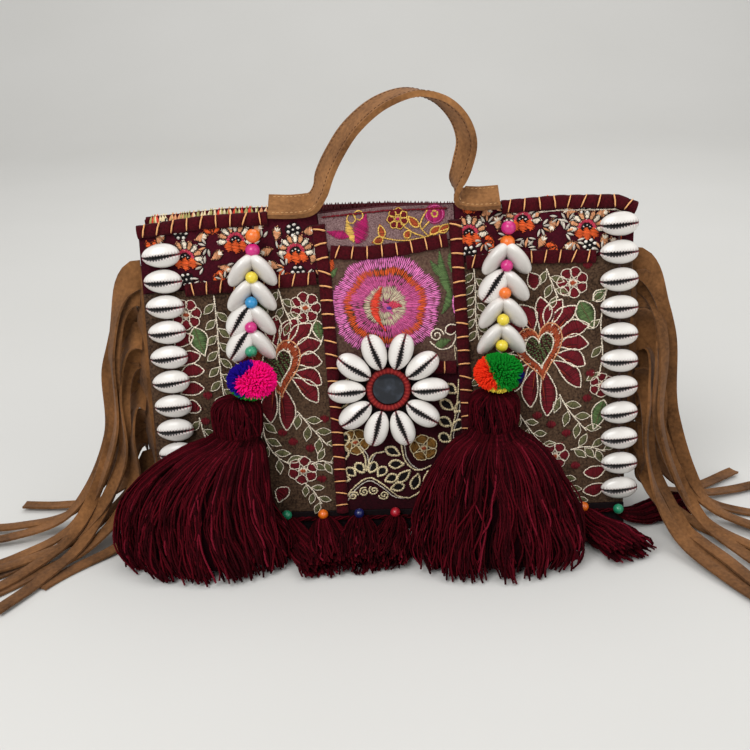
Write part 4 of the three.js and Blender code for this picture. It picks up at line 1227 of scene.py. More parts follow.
# %% [markdown]
# ## The dark patch
# Couched cord in old gold: loops over a scroll arch, spirals under it and bronze flowers beside it.

# %% The dark patch
gold = Needlework()
ARCH = smooth_line([(-36, 22), (-27, 35), (-16, 42), (-6, 36), (4, 27), (12, 25)], 40)
ARCH_MIDDLE = np.array([-16.0, 24.0])
gold.chain(ARCH, "gold", 1.6, 1.5)
gold.chain(ARCH_MIDDLE + (ARCH - ARCH_MIDDLE) * 0.87, "grey", 1.2)
GOLD_LOOPS = [
    [(-30, 41), (-38, 43)], [(-26, 44), (-32, 50)], [(-20, 46), (-25, 54)], [(-16, 46), (-11, 54)],
    [(-10, 43), (-4, 50)], [(-5, 39), (4, 43)], [(-1, 33), (9, 35)], [(9, 52), (-2, 52)],
    [(6, 59), (-4, 65)], [(13, 47), (4, 38)], [(19, 44), (15, 32)], [(26, 46), (26, 34)],
    [(44, 92), (35, 99)], [(45, 90), (52, 97)], [(43, 80), (34, 86)], [(43, 76), (51, 84)],
    [(42, 68), (34, 74)], [(46, 104), (39, 110)], [(-34, 66), (-31, 77)], [(-35, 55), (-32, 66)],
    [(24, 28), (34, 26)], [(32, 44), (38, 52)], [(-34, 96), (-30, 104)],
]
for foot, tip in GOLD_LOOPS:
    gold.petal(foot, tip, 3.3, "black", "gold", blunt=1.25, width=2.1)
for spot, turn in (((-28, 28), 0), ((-20, 31), 60), ((-13, 32), 120), ((-6, 28), 180)):
    gold.spiral(spot, 3.8, turn, "gold", width=1.5)
for spot, radius, turn in (((23, 64), 10, 30), ((-25, 70), 10, 60), ((41, 36), 9, 0), ((-26, 110), 8, 0)):
    gold.flower(spot, radius, 5, turn, "bronze", "gold", "rust")
GOLD_VINES = [
    [(7, 68), (10, 54), (18, 47), (28, 50)],
    [(48, 114), (46, 90), (42, 72), (44, 56), (38, 48)],
    [(-18, 47), (-19, 59), (-23, 66)],
    [(-18, 47), (-13, 60), (-5, 62)],
    [(12, 25), (20, 30), (24, 40)],
]
for path in GOLD_VINES:
    curve = smooth_line(path, 24)
    gold.chain(curve, "gold", 1.5)
    gold.chain(curve + (2.0, 0.5), "grey", 1.0)
gold.piece("dark_embroidery")

# %% [markdown]
# ## Welts and their overcast stitches
# Fat maroon rolls cover the seams and the top edge. Golden thread is whipped over them every 9 mm and pulls
# the roll in, so the roll's height dips at each stitch and the stitch bows over it.

# %% Where the welts run
WELT_WIDTH = 9.0
WELT_CROWN = 4.0
WELT_EDGE = 0.8
WELT_PITCH = 9.2
WELT_PINCH = 0.42
WELT_STEP = 1.4
WELT_UNDER = 0.3
PINCH_REACH = 1.7
SEAM_CLEAR = WELT_WIDTH / 2 + 1.4
UPRIGHT_TOP = 222.0
BINDING_DROP = 3.0
WHIP_REACH = 2.8
WHIP_LIFT = 1.9
WHIP_RAISE = 0.9
WHIP_WIDTH = 0.9
WHIP_BOW = 2.8
WHIP_SLANT = (-0.4, 1.3)
WHIP_WAY = (0.0, -1.0, 0.8)


def upright(seam):
    def path(share):
        z = lerp(HEM, UPRIGHT_TOP, share)
        return columns(seam(z), z)

    return path


def level(height, start, end, drop=0.0):
    def path(share):
        x = lerp(start, end, share)
        return columns(x, height(x) - drop)

    return path


WELTS = {
    "welt_left_upright": upright(left_seam),
    "welt_right_upright": upright(right_seam),
    "welt_left_band": level(left_band, -137, left_seam(187) - SEAM_CLEAR),
    "welt_right_band": level(right_band, right_seam(194) + SEAM_CLEAR, 141),
    "welt_centre_top": level(centre_top, left_seam(203) + SEAM_CLEAR, right_seam(210) - SEAM_CLEAR),
    "welt_centre_low": level(centre_low, 30, right_seam(122) - SEAM_CLEAR),
    "binding_left": level(front_top, -HALF_WIDTH, -79, BINDING_DROP),
    "binding_right": level(front_top, 78, HALF_WIDTH, BINDING_DROP),
}
print(len(WELTS), "welts to sew")

# %% The welts
WELT_CLOTH = woven("welt_cloth", paint(38, 4, 10), paint(80, 12, 22), fleck=1.6)


def welt(name, path):
    """Makes a roll that each stitch pulls in, and gives the stitches' two ends."""
    length = travel_along(path(np.linspace(0, 1, 60)))[-1]
    rows = max(8, int(length / WELT_STEP))
    share = np.linspace(0, 1, rows + 1)
    count = max(1, int(length / WELT_PITCH))
    stitches = (np.arange(count) + 0.5) / count
    nearest = np.abs(share[:, None] - stitches).min(axis=1) * length
    pinch = 1 - WELT_PINCH * np.exp(-((nearest / PINCH_REACH) ** 2))
    spots = path(share)
    run = unit(np.gradient(spots, axis=0))
    across = columns(-run[:, 1], run[:, 0])
    turns = np.linspace(0, np.pi, 13)
    wide = -np.cos(turns) * WELT_WIDTH / 2 * (0.8 + 0.2 * pinch)[:, None]
    flat = spots[:, None] + across[:, None] * wide[..., None]
    crown = lerp(WELT_EDGE, WELT_CROWN, np.sin(turns)) * pinch[:, None]
    face = on_front(flat[..., 0], flat[..., 1], ON_PATCH + crown)
    under = on_front(flat[..., 0], flat[..., 1], ON_PATCH - WELT_UNDER)
    shape = loft(np.concatenate([face, under[:, ::-1]], axis=1))
    make_piece(f"{name}_roll", shape, WELT_CLOTH, nodes=[name], slot="welt_maroon")
    dice = np.random.default_rng(len(name) * 31 + count)
    at = np.round(stitches * rows).astype(int)
    reach = across[at] * WHIP_REACH + dice.uniform(*WHIP_SLANT, (count, 1)) * run[at]
    middle = path(stitches) + (0, WHIP_RAISE)
    ends = [middle + reach, middle - reach]
    return [on_front(end[:, 0], end[:, 1], ON_PATCH + WHIP_LIFT) for end in ends]


starts, finishes = zip(*[welt(name, path) for name, path in WELTS.items()])
starts, finishes = np.concatenate(starts), np.concatenate(finishes)
whip_tint = np.tile(THREADS["amber"], (len(starts), 1))
WHIP_FORM = (6, 9, 0.22, WHIP_BOW)
stitch_piece("whip_stitches", starts, finishes, WHIP_WAY, WHIP_WIDTH, whip_tint, 1.0, WHIP_FORM)

# %% The piping
PIPING_DROP = 8.6
PIPING_TWIST = 0.35
piping = Needlework()
piping_x = np.linspace(79, 164, 170)
for strand in (0, 1):
    twist = PIPING_TWIST * np.sin(piping_x * 1.9 + np.pi * strand)
    cord = columns(piping_x, front_top(piping_x) - PIPING_DROP + twist)
    piping.chain(cord, "cream", 0.7)
piping.piece("piping_twist")

# %% [markdown]
# ## The top edge of the back
# Behind the mouth the back panel's edge shows its own binding, whipped close: green, yellow and
# orange near the sides, wine in the middle. The rest of the back is plain cloth, because nothing shows it.

# %% The back binding
BACK_ROLL = 2.6
BACK_PLAIN = 62.0
BACK_DROP = 1.5
BACK_PITCH = 1.5
BACK_LOW = 6.0
BACK_HIGH = 1.2
BACK_FORM = (4, 5, 0.12, 0.9)
share = np.linspace(0, 1, 140)
edge_x = lerp(-HALF_WIDTH + 1, HALF_WIDTH - 1, share)
edge = on_back(edge_x, back_top(edge_x) - BACK_DROP, -CLOTH / 2)
turns = full_turn(12)
ring = columns(0, np.cos(turns) * BACK_ROLL, np.sin(turns) * BACK_ROLL * 1.3)
make_piece("back_binding", loft(edge[:, None] + ring), WELT_CLOTH, slot="welt_maroon")
BACK_THREADS = ["sage", "gold", "sage", "flame", "gold", "sage", "peach"]
places = np.arange(-163, 164, BACK_PITCH)
dice = np.random.default_rng(5)
slant = dice.uniform(-1.2, 1.8, len(places))
picks = (places // 9 + dice.integers(0, 3, len(places))).astype(int) % len(BACK_THREADS)
tint = np.array([THREADS[BACK_THREADS[pick]] for pick in picks])
tint[np.abs(places) < BACK_PLAIN] = THREADS["wine"]
for side, face in ((-1, "inner"), (1, "outer")):
    low = on_back(places, back_top(places) - BACK_LOW, -CLOTH / 2 + side * (BACK_ROLL - 0.2))
    high = on_back(places + slant, back_top(places) + BACK_HIGH, -CLOTH / 2 + side * 0.9)
    stitch_piece(f"back_binding_stitches_{face}", low, high, (0.0, side, 0.5), 2.2, tint, 0.8, BACK_FORM)

# %% [markdown]
# ## Cowrie shells
# A cowrie is an egg with a slit along its flat side and a row of teeth on both lips. The rings of the loft
# crowd together at the slit, where the shape changes fast. The UV map holds the place along the shell and
# the distance from the slit, so the finish can paint the gap dark as painted shade, draw the teeth and the
# pink of the lips, and paint grey shade towards the edges.

# %% The cowrie
COWRIE_LENGTH = 26.0
COWRIE_WIDTH = 16.6
COWRIE_HEIGHT = 10.0
COWRIE_TAPER = 0.1
COWRIE_ROWS = 20
COWRIE_SIDES = 32
COWRIE_CROWD = 1.6
SLIT_SCALE = 20.0
SLIT_BEND = 0.45
GROOVE_DEPTH = 1.7
GROOVE_HALF = 0.6
LIP_HEIGHT = 0.5
LIP_PLACE = 2.0
LIP_HALF = 1.2


def cowrie_shape():
    end = np.sin(np.linspace(-0.5, 0.5, COWRIE_ROWS) * np.pi * 0.97)[:, None]
    turn = np.linspace(-1, 1, COWRIE_SIDES, endpoint=False)[None, :]
    angle = np.pi * np.sign(turn) * np.abs(turn) ** COWRIE_CROWD
    front = np.cos(angle) > 0
    ring = np.sqrt(1 - end**2)
    half = COWRIE_WIDTH / 2 * ring * (1 + COWRIE_TAPER * end)
    side = half * np.sin(angle)
    off = np.where(front, np.abs(side - SLIT_BEND * np.sin(2.4 * end)), 2 * half - np.abs(side))
    groove = GROOVE_DEPTH * ring**0.4 * np.exp(-((off / GROOVE_HALF) ** 2))
    lips = LIP_HEIGHT * ring * np.exp(-(((off - LIP_PLACE) / LIP_HALF) ** 2))
    depth = -COWRIE_HEIGHT / 2 * ring * np.cos(angle) + np.where(front, groove - lips, 0)
    points = columns(COWRIE_LENGTH / 2 * end, depth, side)
    shape = loft(points)
    spread = columns((end + 1) / 2, off / SLIT_SCALE).reshape(-1, 2)
    shape.uvs = spread[np.concatenate(shape.faces)]
    return shape


def turned(angle):
    """A turn about the front-back axis."""
    cosine, sine = math.cos(angle), math.sin(angle)
    return np.array([[cosine, 0, sine], [0, 1, 0], [-sine, 0, cosine]])


def rolled(angle):
    """A turn about the left-right axis."""
    cosine, sine = math.cos(angle), math.sin(angle)
    return np.array([[1, 0, 0], [0, cosine, -sine], [0, sine, cosine]])


COWRIE = cowrie_shape()
print("a cowrie has", len(COWRIE.faces), "faces")

# %% The finish of a shell
TEETH = 82


def shell_finish():
    """White enamel with grey painted shade towards the edges, ribs by the slit, a toothed gap painted dark as
    shade inside it, and wine-red lines to both tips.
    """
    material, w = new_finish("cowrie_shell", {"Coat Weight": 0.25, "Coat Roughness": 0.15})
    uv = w.node("ShaderNodeSeparateXYZ", inputs={0: w.node("ShaderNodeUVMap", {"uv_map": "UVMap"})})
    end = uv.port("X") * 2 - 1
    off = uv.port("Y") * SLIT_SCALE
    teeth = w.maths("SINE", uv.port("X") * TEETH)
    belly = 1 - end * end
    gap = belly * (1.55 - 1.0 * end) + 0.62 * teeth * belly
    # The gap in the slit is painted near-black, as painted shade inside the opening, and is rougher there.
    dark = 1 - stepped(w, off - gap, -0.12, 0.22)
    line = 1 - stepped(w, off, 0.5, 0.95)
    lips = 1 - stepped(w, off, 0.8, 3.8)
    # Towards the edges the white is painted grey, as painted shade on the curve of the shell.
    rim_shade = stepped(w, off, 4.5, 9.5)
    body = mixed(w, paint(230, 226, 220), paint(190, 184, 178), 0.3 * noise(w, 160, 3.0) + 0.7 * rim_shade)
    ribs = mixed(w, body, paint(170, 150, 146), lips * (0.5 - 0.5 * teeth) * 0.85)
    lined = mixed(w, ribs, paint(126, 40, 50), line)
    colour = mixed(w, lined, paint(14, 8, 8), dark)
    bump = raised(w, teeth * lips, 0.5, 0.25)
    return feed(material, base_color=colour, roughness=0.26 + 0.5 * dark, normal=bump)


SHELL = shell_finish()
print("its finish has", len(SHELL.node_tree.nodes), "nodes")

# %% [markdown]
# ## Columns of shells
# Near each side a row of cowries is strung down the cloth on one dark thread. One mesh in a row would look
# stamped, so each shell is turned a little.

# %% The shell columns
SHELL_TURN = 0.07
THREAD_RADIUS = 0.8
WIRE_SIDES = 8
COLUMNS = [
    ("cowrie_column_left", (-151.5, 204.5), (-150.5, 30.5), 11),
    ("cowrie_column_right", (155.5, 218), (162, 30), 11),
]


def wire_shape(path, radius):
    """A round wire along a path."""
    run = unit(np.gradient(path, axis=0))
    first = unit(np.cross(run, (0.0, 1.0, 0.001)))
    second = np.cross(run, first)
    turns = full_turn(WIRE_SIDES)[:, None]
    ring = first[:, None] * np.cos(turns) + second[:, None] * np.sin(turns)
    return loft(path[:, None] + ring * radius)


def plain_thread(name, colour):
    return mottled(name, {"Roughness": 0.8}, colour, paint(20, 10, 10), 1200)


SEWING = plain_thread("sewing_thread", paint(60, 22, 26))
for name, top, low, count in COLUMNS:
    dice = np.random.default_rng(count + len(name))
    out = ON_PATCH + COWRIE_HEIGHT / 2
    shells = []
    for row in range(count):
        spot = lerp(np.array(top), np.array(low), row / (count - 1))
        turn = turned(dice.uniform(-SHELL_TURN, SHELL_TURN))
        shells.append(COWRIE.placed(turn, on_front(spot[0], spot[1], out)))
    make_piece(f"{name}_shells", joined(shells), SHELL, nodes=[name], slot="cowrie")
    share = np.linspace(0, 1, 60)[:, None]
    spots = lerp(np.array(top), np.array(low), share)
    thread = wire_shape(on_front(spots[:, 0], spots[:, 1], out), THREAD_RADIUS)
    make_piece(f"{name}_thread", thread, SEWING)

# %% [markdown]
# ## The mirror flower
# Ten cowries lie round a little mirror that is held by a ring of red thread, on a black felt pad. The pad is
# flat and leans with the cloth, so the whole flower is made level first and then tipped by one matrix.

# %% The mirror flower
FLOWER = (-1.0, 110.0)
FLOWER_RADIUS = 28.6
FLOWER_TURN = -18
FLOWER_PETALS = 10
PAD_RADIUS = 28.0
PAD_THICKNESS = 4.2
PAD_BASE = ON_PATCH + 0.3
PAD_TOP = PAD_BASE + PAD_THICKNESS + GAP
MIRROR_RADIUS = 11.2
MIRROR_THICKNESS = 1.5
RING_RADIUS = 13.3
RING_YARN = 1.6
lean = math.atan2(BASE_HALF_DEPTH - MOUTH_HALF_DEPTH, HEIGHT)
TIPPED = rolled(-lean)
FLOWER_SPOT = on_front(*FLOWER)
DOME_SIDES = 48
DOME_ROWS = 6


def wheel(count):
    """Points round a circle of radius one that faces the front."""
    turns = full_turn(count)
    return columns(np.cos(turns), 0, np.sin(turns))


def dome(radius, base, top, bevel):
    """A disc facing forward, with a round edge and a face that swells a little."""
    corner = np.linspace(0, np.pi / 2, DOME_ROWS)
    edge = radius - bevel * (1 - np.cos(corner))
    rise = top - bevel * (1 - np.sin(corner))
    radii = np.concatenate([[radius - bevel, radius], edge, [radius * 0.4, 0.2]])
    heights = np.concatenate([[base, base + 0.1], rise, [top + 0.12, top + 0.15]])
    forward = np.array([0, -1.0, 0])
    return loft(wheel(DOME_SIDES) * radii[:, None, None] + forward * heights[:, None, None])


def mirror_finish():
    constants = {"Metallic": 0.85, "Coat Weight": 0.6, "Coat Roughness": 0.03}
    material, w = new_finish("mirror_glass", constants)
    smudge = noise(w, 120, 4.0)
    # The dark bluish-grey of the glass is a painted reflection of dark surroundings; the smudges on it are
    # lighter and rougher.
    colour = mixed(w, paint(26, 31, 40), paint(66, 74, 88), stepped(w, smudge, 0.45, 0.75))
    return feed(material, base_color=colour, roughness=0.06 + 0.2 * smudge)


def flower_piece(name, shape, finish, **facts):
    return make_piece(name, shape.placed(TIPPED, FLOWER_SPOT), finish, **facts)


felt = dome(PAD_RADIUS, PAD_BASE, PAD_BASE + PAD_THICKNESS, 1.8)
pad = flower_piece("flower_felt", felt, BLACK_CLOTH, nodes=["flower_pad"])
glass = dome(MIRROR_RADIUS, PAD_TOP, PAD_TOP + MIRROR_THICKNESS, 0.6)
flower_piece("mirror_disc", glass, mirror_finish(), nodes=["mirror"], slot="mirror_glass")
for petal in range(FLOWER_PETALS):
    angle = math.radians(FLOWER_TURN + 360 / FLOWER_PETALS * petal)
    x, z = FLOWER_RADIUS * math.sin(angle), FLOWER_RADIUS * math.cos(angle)
    shell = COWRIE.placed(turned(angle - math.pi / 2), (x, -PAD_TOP - COWRIE_HEIGHT / 2, z))
    number = petal + 1
    flower_piece(f"flower_shell_{number}", shell, SHELL, nodes=[f"flower_cowrie_{number}"], slot="cowrie")

# %% [markdown]
# ## The ring round the mirror
# A rope of red yarn holds the mirror's edge, and close stitches over it hold the rope. Both are made level
# and tipped with the flower.

# %% The stitched ring
RING_CORE = 0.85
RING_STEPS = 72
RING_STITCHES = 96
RING_FORM = (4, 7, 0.2, 1.6)
turns = full_turn(12)[:, None]
rope = wheel(RING_STEPS)[:, None] * (RING_RADIUS + RING_YARN * RING_CORE * np.cos(turns))
rope[..., 1] = -PAD_TOP - RING_YARN * (1 + RING_CORE * np.sin(turns[:, 0]))
RED_YARN = plain_thread("red_yarn", paint(120, 26, 26))
flower_piece("mirror_ring_core", loft(rope, loop=True), RED_YARN, nodes=["mirror_ring"], slot="red_yarn")
rays = wheel(RING_STITCHES)
drop = np.array([0, -PAD_TOP - RING_YARN * 0.9, 0])
near = (rays * (RING_RADIUS - RING_YARN) + drop) @ TIPPED.T + FLOWER_SPOT
far = (rays * (RING_RADIUS + RING_YARN) + drop) @ TIPPED.T + FLOWER_SPOT
REDS = [paint(160, 48, 42), paint(126, 24, 26), paint(126, 24, 26)]
red_tint = np.tile(REDS, (RING_STITCHES // len(REDS), 1))
stitch_piece("mirror_ring_stitches", near, far, TIPPED @ (0, -1, 0), 1.0, red_tint, 1.0, RING_FORM)

# %% [markdown]
# ## Charm strings
# Each string has two wooden beads, then four pairs of cowries that hang like leaves with a bead between them.
# Some shells turn their round back to the front and some their slit, so a short table says which.

# %% Beads
BEAD_RADIUS = 4.9
SMALL_BEAD = 4.2
BEADS = {
    "orange": paint(236, 112, 20),
    "magenta": paint(200, 20, 118),
    "yellow": paint(230, 206, 50),
    "blue": paint(24, 134, 190),
    "green": paint(28, 138, 98),
    "navy": paint(20, 30, 90),
    "red": paint(184, 26, 44),
}
BEAD_TILTS = np.radians(np.linspace(-78, 78, 13))
BEAD_HOLE = 0.14
BEAD_SIDES = 22


def bead_shape(radius):
    """A bead with a hole: the skin goes over the outside and dips in at both ends."""
    radii = np.concatenate([[BEAD_HOLE], np.cos(BEAD_TILTS), [BEAD_HOLE]]) * radius
    heights = np.concatenate([[-0.8], np.sin(BEAD_TILTS) * 0.95, [0.8]]) * radius
    turns = full_turn(BEAD_SIDES)
    round_hole = columns(np.cos(turns), np.sin(turns), 0)
    return loft(round_hole * radii[:, None, None] + heights[:, None, None] * np.array([0, 0, 1.0]))


def bead_finish():
    material, w = new_finish("painted_bead", {"Coat Weight": 0.5, "Coat Roughness": 0.15})
    grain = noise(w, 240, 3.0)
    colour = shaded(w, tinted(w), 0.75 + 0.4 * grain)
    return feed(material, base_color=colour, roughness=0.25 + 0.25 * grain, normal=raised(w, grain, 0.2, 0.3))


BEAD = bead_finish()


def bead_row(name, spots, radii, colours, **facts):
    shapes = [bead_shape(radius).placed(np.eye(3), spot) for spot, radius in zip(spots, radii)]
    tint = np.repeat([BEADS[colour] for colour in colours], len(shapes[0].points), axis=0)
    return make_piece(name, joined(shapes), BEAD, tint, **facts)


print(len(BEADS), "colours of bead")

# %% The charms
BEAD_FORWARD = 4.0
BEAD_DROP = 3.0
CHARM_OUT = 14.2
POMPOM_OUT = 26.0
CHARM_TAIL = 8.0
CHARM_SPREAD = np.array([7.2, 0.0, 0.6])
CHARM_LEAN = math.radians(54)
CHARM_ROLL = math.radians(55)
SLIT_ROLL = math.radians(14)
CHARMS = [
    {
        "side": "left",
        "top": (-87.5, 225),
        "low": (-93.5, 140),
        "first": 195.5,
        "pitch": 16.6,
        "colours": ["orange", "magenta", "yellow", "blue", "magenta", "green"],
        "slit_out": [(2, -1), (3, -1)],
    },
    {
        "side": "right",
        "top": (81.5, 225),
        "low": (75.5, 140.5),
        "first": 198,
        "pitch": 17.8,
        "colours": ["magenta", "orange", "magenta", "orange", "yellow", "yellow"],
        "slit_out": [(1, -1)],
    },
]
TOP_BEADS = [218.6, 209.2]
for charm in CHARMS:
    (top_x, top_z), (low_x, low_z) = charm["top"], charm["low"]

    def charm_spot(z):
        tail = np.clip((low_z + CHARM_TAIL - z) / CHARM_TAIL, 0, 1)
        x = lerp(top_x, low_x, (top_z - z) / (top_z - low_z))
        return on_front(x, z, lerp(CHARM_OUT, POMPOM_OUT, tail))

    def pair_spot(z):
        return charm_spot(max(z, low_z + CHARM_TAIL)) * (1, 1, 0) + (0, 0, z)

    spots = [charm_spot(z) for z in TOP_BEADS]
    radii = [BEAD_RADIUS] * len(TOP_BEADS)
    shells = []
    for pair in range(4):
        z = charm["first"] - pair * charm["pitch"]
        spots.append(pair_spot(z - BEAD_DROP) - (0, BEAD_FORWARD, 0))
        radii.append(SMALL_BEAD)
        for side in (-1, 1):
            roll = SLIT_ROLL if (pair, side) in charm["slit_out"] else side * CHARM_ROLL + math.pi
            turn = turned(math.pi - CHARM_LEAN if side < 0 else CHARM_LEAN) @ rolled(roll)
            shells.append(COWRIE.placed(turn, pair_spot(z) + CHARM_SPREAD * (side, 1, 1)))
    label = f"charm_{charm['side']}"
    make_piece(f"{label}_shells", joined(shells), SHELL, nodes=[label], slot="charm_string")
    bead_row(f"{label}_beads", spots, radii, charm["colours"])
    path = charm_spot(np.linspace(top_z, low_z + CHARM_TAIL, 40))
    make_piece(f"{label}_thread", wire_shape(path, 0.7), SEWING)

# %% [markdown]
# ## Pompoms
# A pompom is cut yarn standing out all round. The seed is an egg whose points carry the wool's colour. A
# tree scatters points on it, keeps them a yarn's width apart and stands a short tuft on each.

# %% The tree that cuts yarn
TUFT_DENSITY = 4e6
TUFT_LEAN = 0.35
TUFT_LENGTHS = (0.84, 1.1)
TWIST_PITCH = 3.2


def pompom_tree():
    sizes = {"Apart": "Float", "Length": "Float", "Thickness": "Float", "Seed": "Int"}
    w, ports = new_tree("cut_yarn", sizes)
    scatter = {0: ports["Geometry"], "Distance Min": ports["Apart"]}
    scatter |= {"Density Max": TUFT_DENSITY, "Seed": ports["Seed"]}
    spots = w.node("GeometryNodeDistributePointsOnFaces", {"distribute_method": "POISSON"}, scatter)
    tuft = w.node("GeometryNodeCurvePrimitiveLine", inputs={"Start": (0, 0, 0), "End": (0, 0, 1)})
    tuft = w.node("GeometryNodeResampleCurve", inputs={0: tuft, "Count": 4})
    share = w.node("GeometryNodeSplineParameter")
    tuft = tube(w, tuft, 5, 1.15 - 0.7 * share**6)
    jitter = {0: (-TUFT_LEAN,) * 3, 1: (TUFT_LEAN,) * 3, "Seed": ports["Seed"]}
    tip = w.node("FunctionNodeRandomValue", {"data_type": "FLOAT_VECTOR"}, jitter)
    way = w.node("ShaderNodeVectorMath", inputs={0: spots.port("Normal"), 1: tip})
    stand = w.node("FunctionNodeAlignRotationToVector", {"axis": "Z"}, {"Vector": way})
    chance = {2: TUFT_LENGTHS[0], 3: TUFT_LENGTHS[1], "Seed": ports["Seed"] + 1}
    vary = w.node("FunctionNodeRandomValue", {"data_type": "FLOAT"}, chance, out=1)
    scale = {"X": ports["Thickness"], "Y": ports["Thickness"], "Z": ports["Length"] * vary}
    size = w.node("ShaderNodeCombineXYZ", inputs=scale)
    inputs = {0: spots, "Instance": tuft, "Rotation": stand, "Scale": size}
    return close_tree(w, w.node("GeometryNodeInstanceOnPoints", inputs=inputs), ports["Finish"])


def yarn_finish():
    material, w = new_finish("yarn", {"Roughness": 1.0, "Specular IOR Level": 0.04})
    along = w.node("ShaderNodeAttribute", {"attribute_name": "along"}, out="Fac")
    around = w.node("ShaderNodeAttribute", {"attribute_name": "around"}, out="Fac")
    twist = w.maths("SINE", along * (2 * math.pi / (TWIST_PITCH * MM)) + around * (2 * math.pi))
    fuzz = noise(w, 900)
    colour = shaded(w, tinted(w), 0.6 + 0.06 * twist + 0.8 * fuzz)
    return feed(material, base_color=colour, normal=raised(w, twist * 0.5 + fuzz, 0.6, 0.3))


YARN = yarn_finish()
POMPOM_TREE = pompom_tree()
print("the tree for cut yarn has", len(POMPOM_TREE.nodes), "nodes")

# %% The pompoms
POMPOM_SIZE = np.array([18.0, 15.0, 13.0])
POMPOM_CORE = 0.72
TUFT_APART = 0.95
TUFT_THICKNESS = 1.3
WOOL = {
    "royal": paint(30, 14, 128),
    "hot": paint(240, 16, 124),
    "leaf": paint(18, 130, 38),
    "flame": paint(236, 54, 26),
    "lemon": paint(226, 204, 70),
    "navy": paint(20, 24, 84),
}


def left_wool(x, z):
    if z < -0.66 - 0.2 * x:
        return "leaf"
    return "royal" if x < -0.66 + 0.8 * z * z - 0.3 * min(z, 0) else "hot"


def right_wool(x, z):
    if z < -0.62 and -0.45 < x < 0.3:
        return "lemon"
    if x > 0.8 and z < 0.1:
        return "navy"
    return "flame" if x < -0.3 - 0.35 * z else "leaf"


POMPOMS = [
    ("pompom_left", (-92.5, 126), left_wool, "pompom_pink"),
    ("pompom_right", (73, 126.5), right_wool, "pompom_green"),
]
for name, (x, z), wool, slot in POMPOMS:
    tilt = np.radians(np.linspace(-88, 88, 48))[:, None]
    turns = full_turn(80)
    axes = np.cos(tilt) * np.cos(turns), np.cos(tilt) * np.sin(turns), np.sin(tilt)
    ball = columns(*axes)
    shape = loft(ball * POMPOM_SIZE * POMPOM_CORE + on_front(x, z, POMPOM_OUT))
    seed = seed_mesh(name, shape.points, faces=shape.faces)
    set_column(seed, "tint", [WOOL[wool(across, up)] for across, _, up in ball.reshape(-1, 3)])
    tuft = POMPOM_SIZE.mean() * (1 - POMPOM_CORE) * MM
    sizes = {"Apart": TUFT_APART * MM, "Length": tuft, "Thickness": TUFT_THICKNESS * MM, "Seed": 3}
    dress(grow(f"{name}_yarn", seed, POMPOM_TREE, Finish=YARN, **sizes), nodes=[name], slot=slot)

# %% [markdown]
# ## Tassels
# A tassel is a bundle of yarn folded over, bound at the neck and let fall. Each strand is a line of points
# inside the tassel's form, a little crimped. The tree turns lines into tubes, and keeps the length along and
# the share round each tube, which the yarn's finish uses for its twist.

# %% The tree that spins yarn
STRAND_SIDES = 3


def strand_tree():
    w, ports = new_tree("spun_yarn", {"Sides": "Int", "Thickness": "Float"})
    lines = w.node("GeometryNodeMeshToCurve", inputs={0: ports["Geometry"]})
    share = w.node("GeometryNodeSplineParameter")
    store = {"data_type": "FLOAT", "domain": "POINT"}
    named = {0: lines, "Name": "along", "Value": share.port("Length")}
    lines = w.node("GeometryNodeStoreNamedAttribute", store, named)
    circle = {"Resolution": ports["Sides"], "Radius": 0.5}
    profile = w.node("GeometryNodeCurvePrimitiveCircle", inputs=circle)
    named = {0: profile, "Name": "around", "Value": share.port("Factor")}
    profile = w.node("GeometryNodeStoreNamedAttribute", store, named)
    inputs = {0: lines, 1: profile, "Scale": ports["Thickness"], "Fill Caps": True}
    return close_tree(w, w.node("GeometryNodeCurveToMesh", inputs=inputs), ports["Finish"])


STRAND_TREE = strand_tree()


def yarn_piece(name, bundles, thickness, tint, **facts):
    """Spins yarn along bundles of lines, each bundle an array of lines by points."""
    points, edges, tints, start = [], [], [], 0
    for lines, colours in zip(bundles, tint):
        count, steps = lines.shape[:2]
        first = start + np.arange(count)[:, None] * steps + np.arange(steps - 1)
        edges.append(columns(first, first + 1).reshape(-1, 2))
        points.append(lines.reshape(-1, 3))
        tints.append(np.repeat(colours, steps, axis=0))
        start += count * steps
    seed = seed_mesh(name, np.concatenate(points), np.concatenate(edges).tolist())
    set_column(seed, "tint", np.concatenate(tints))
    piece = grow(name, seed, STRAND_TREE, Sides=STRAND_SIDES, Thickness=thickness * MM, Finish=YARN)
    return dress(piece, **facts)


def wine_tints(dice, count):
    """One strand's colour each: mostly deep wine, and a few that catch the light."""
    share = dice.uniform(0, 1, (count, 1)) ** 1.5
    tint = lerp(np.array(paint(37, 4, 9)), np.array(paint(84, 11, 22)), share)
    bright = dice.uniform(0, 1, (count, 1)) < 0.05
    return np.where(bright, np.array(paint(104, 20, 35)), tint)


print("the tree for spun yarn has", len(STRAND_TREE.nodes), "nodes")

# %% [markdown]
# ## The two big tassels
# A row of the form gives the share of the drop, half the tassel's width and depth there, how far it leans
# forward and how far it sways. Strands that lie deep inside are painted darker, as painted shade inside the
# bundle.

# %% The form of a tassel
TASSEL_OUT = 19.0
HEAD_DROP = 18.0
FLOOR_GAP = 0.4
TASSEL_ROWS = [
    (0.00, 9, 8, 0, 0),
    (0.03, 14, 12.5, 0, 0),
    (0.10, 17, 15.5, 0, 0),
    (0.20, 16.5, 15, 0.5, 0),
    (0.25, 11, 10, 1, 0),
    (0.29, 25, 16, 3, 0.25),
    (0.38, 37, 17, 8, 0.6),
    (0.52, 48, 19, 16, 0.9),
    (0.70, 56, 22.5, 22.5, 1),
    (0.86, 59, 26, 27, 0.9),
    (1.00, 55, 27, 30, 0.7),
]
TASSEL_FORM = smooth_line(TASSEL_ROWS, 200)
NECK = 0.25
TASSELS = [("left", -105, 112, -29, 1.0), ("right", 70.5, 112.5, 0, 1.2)]


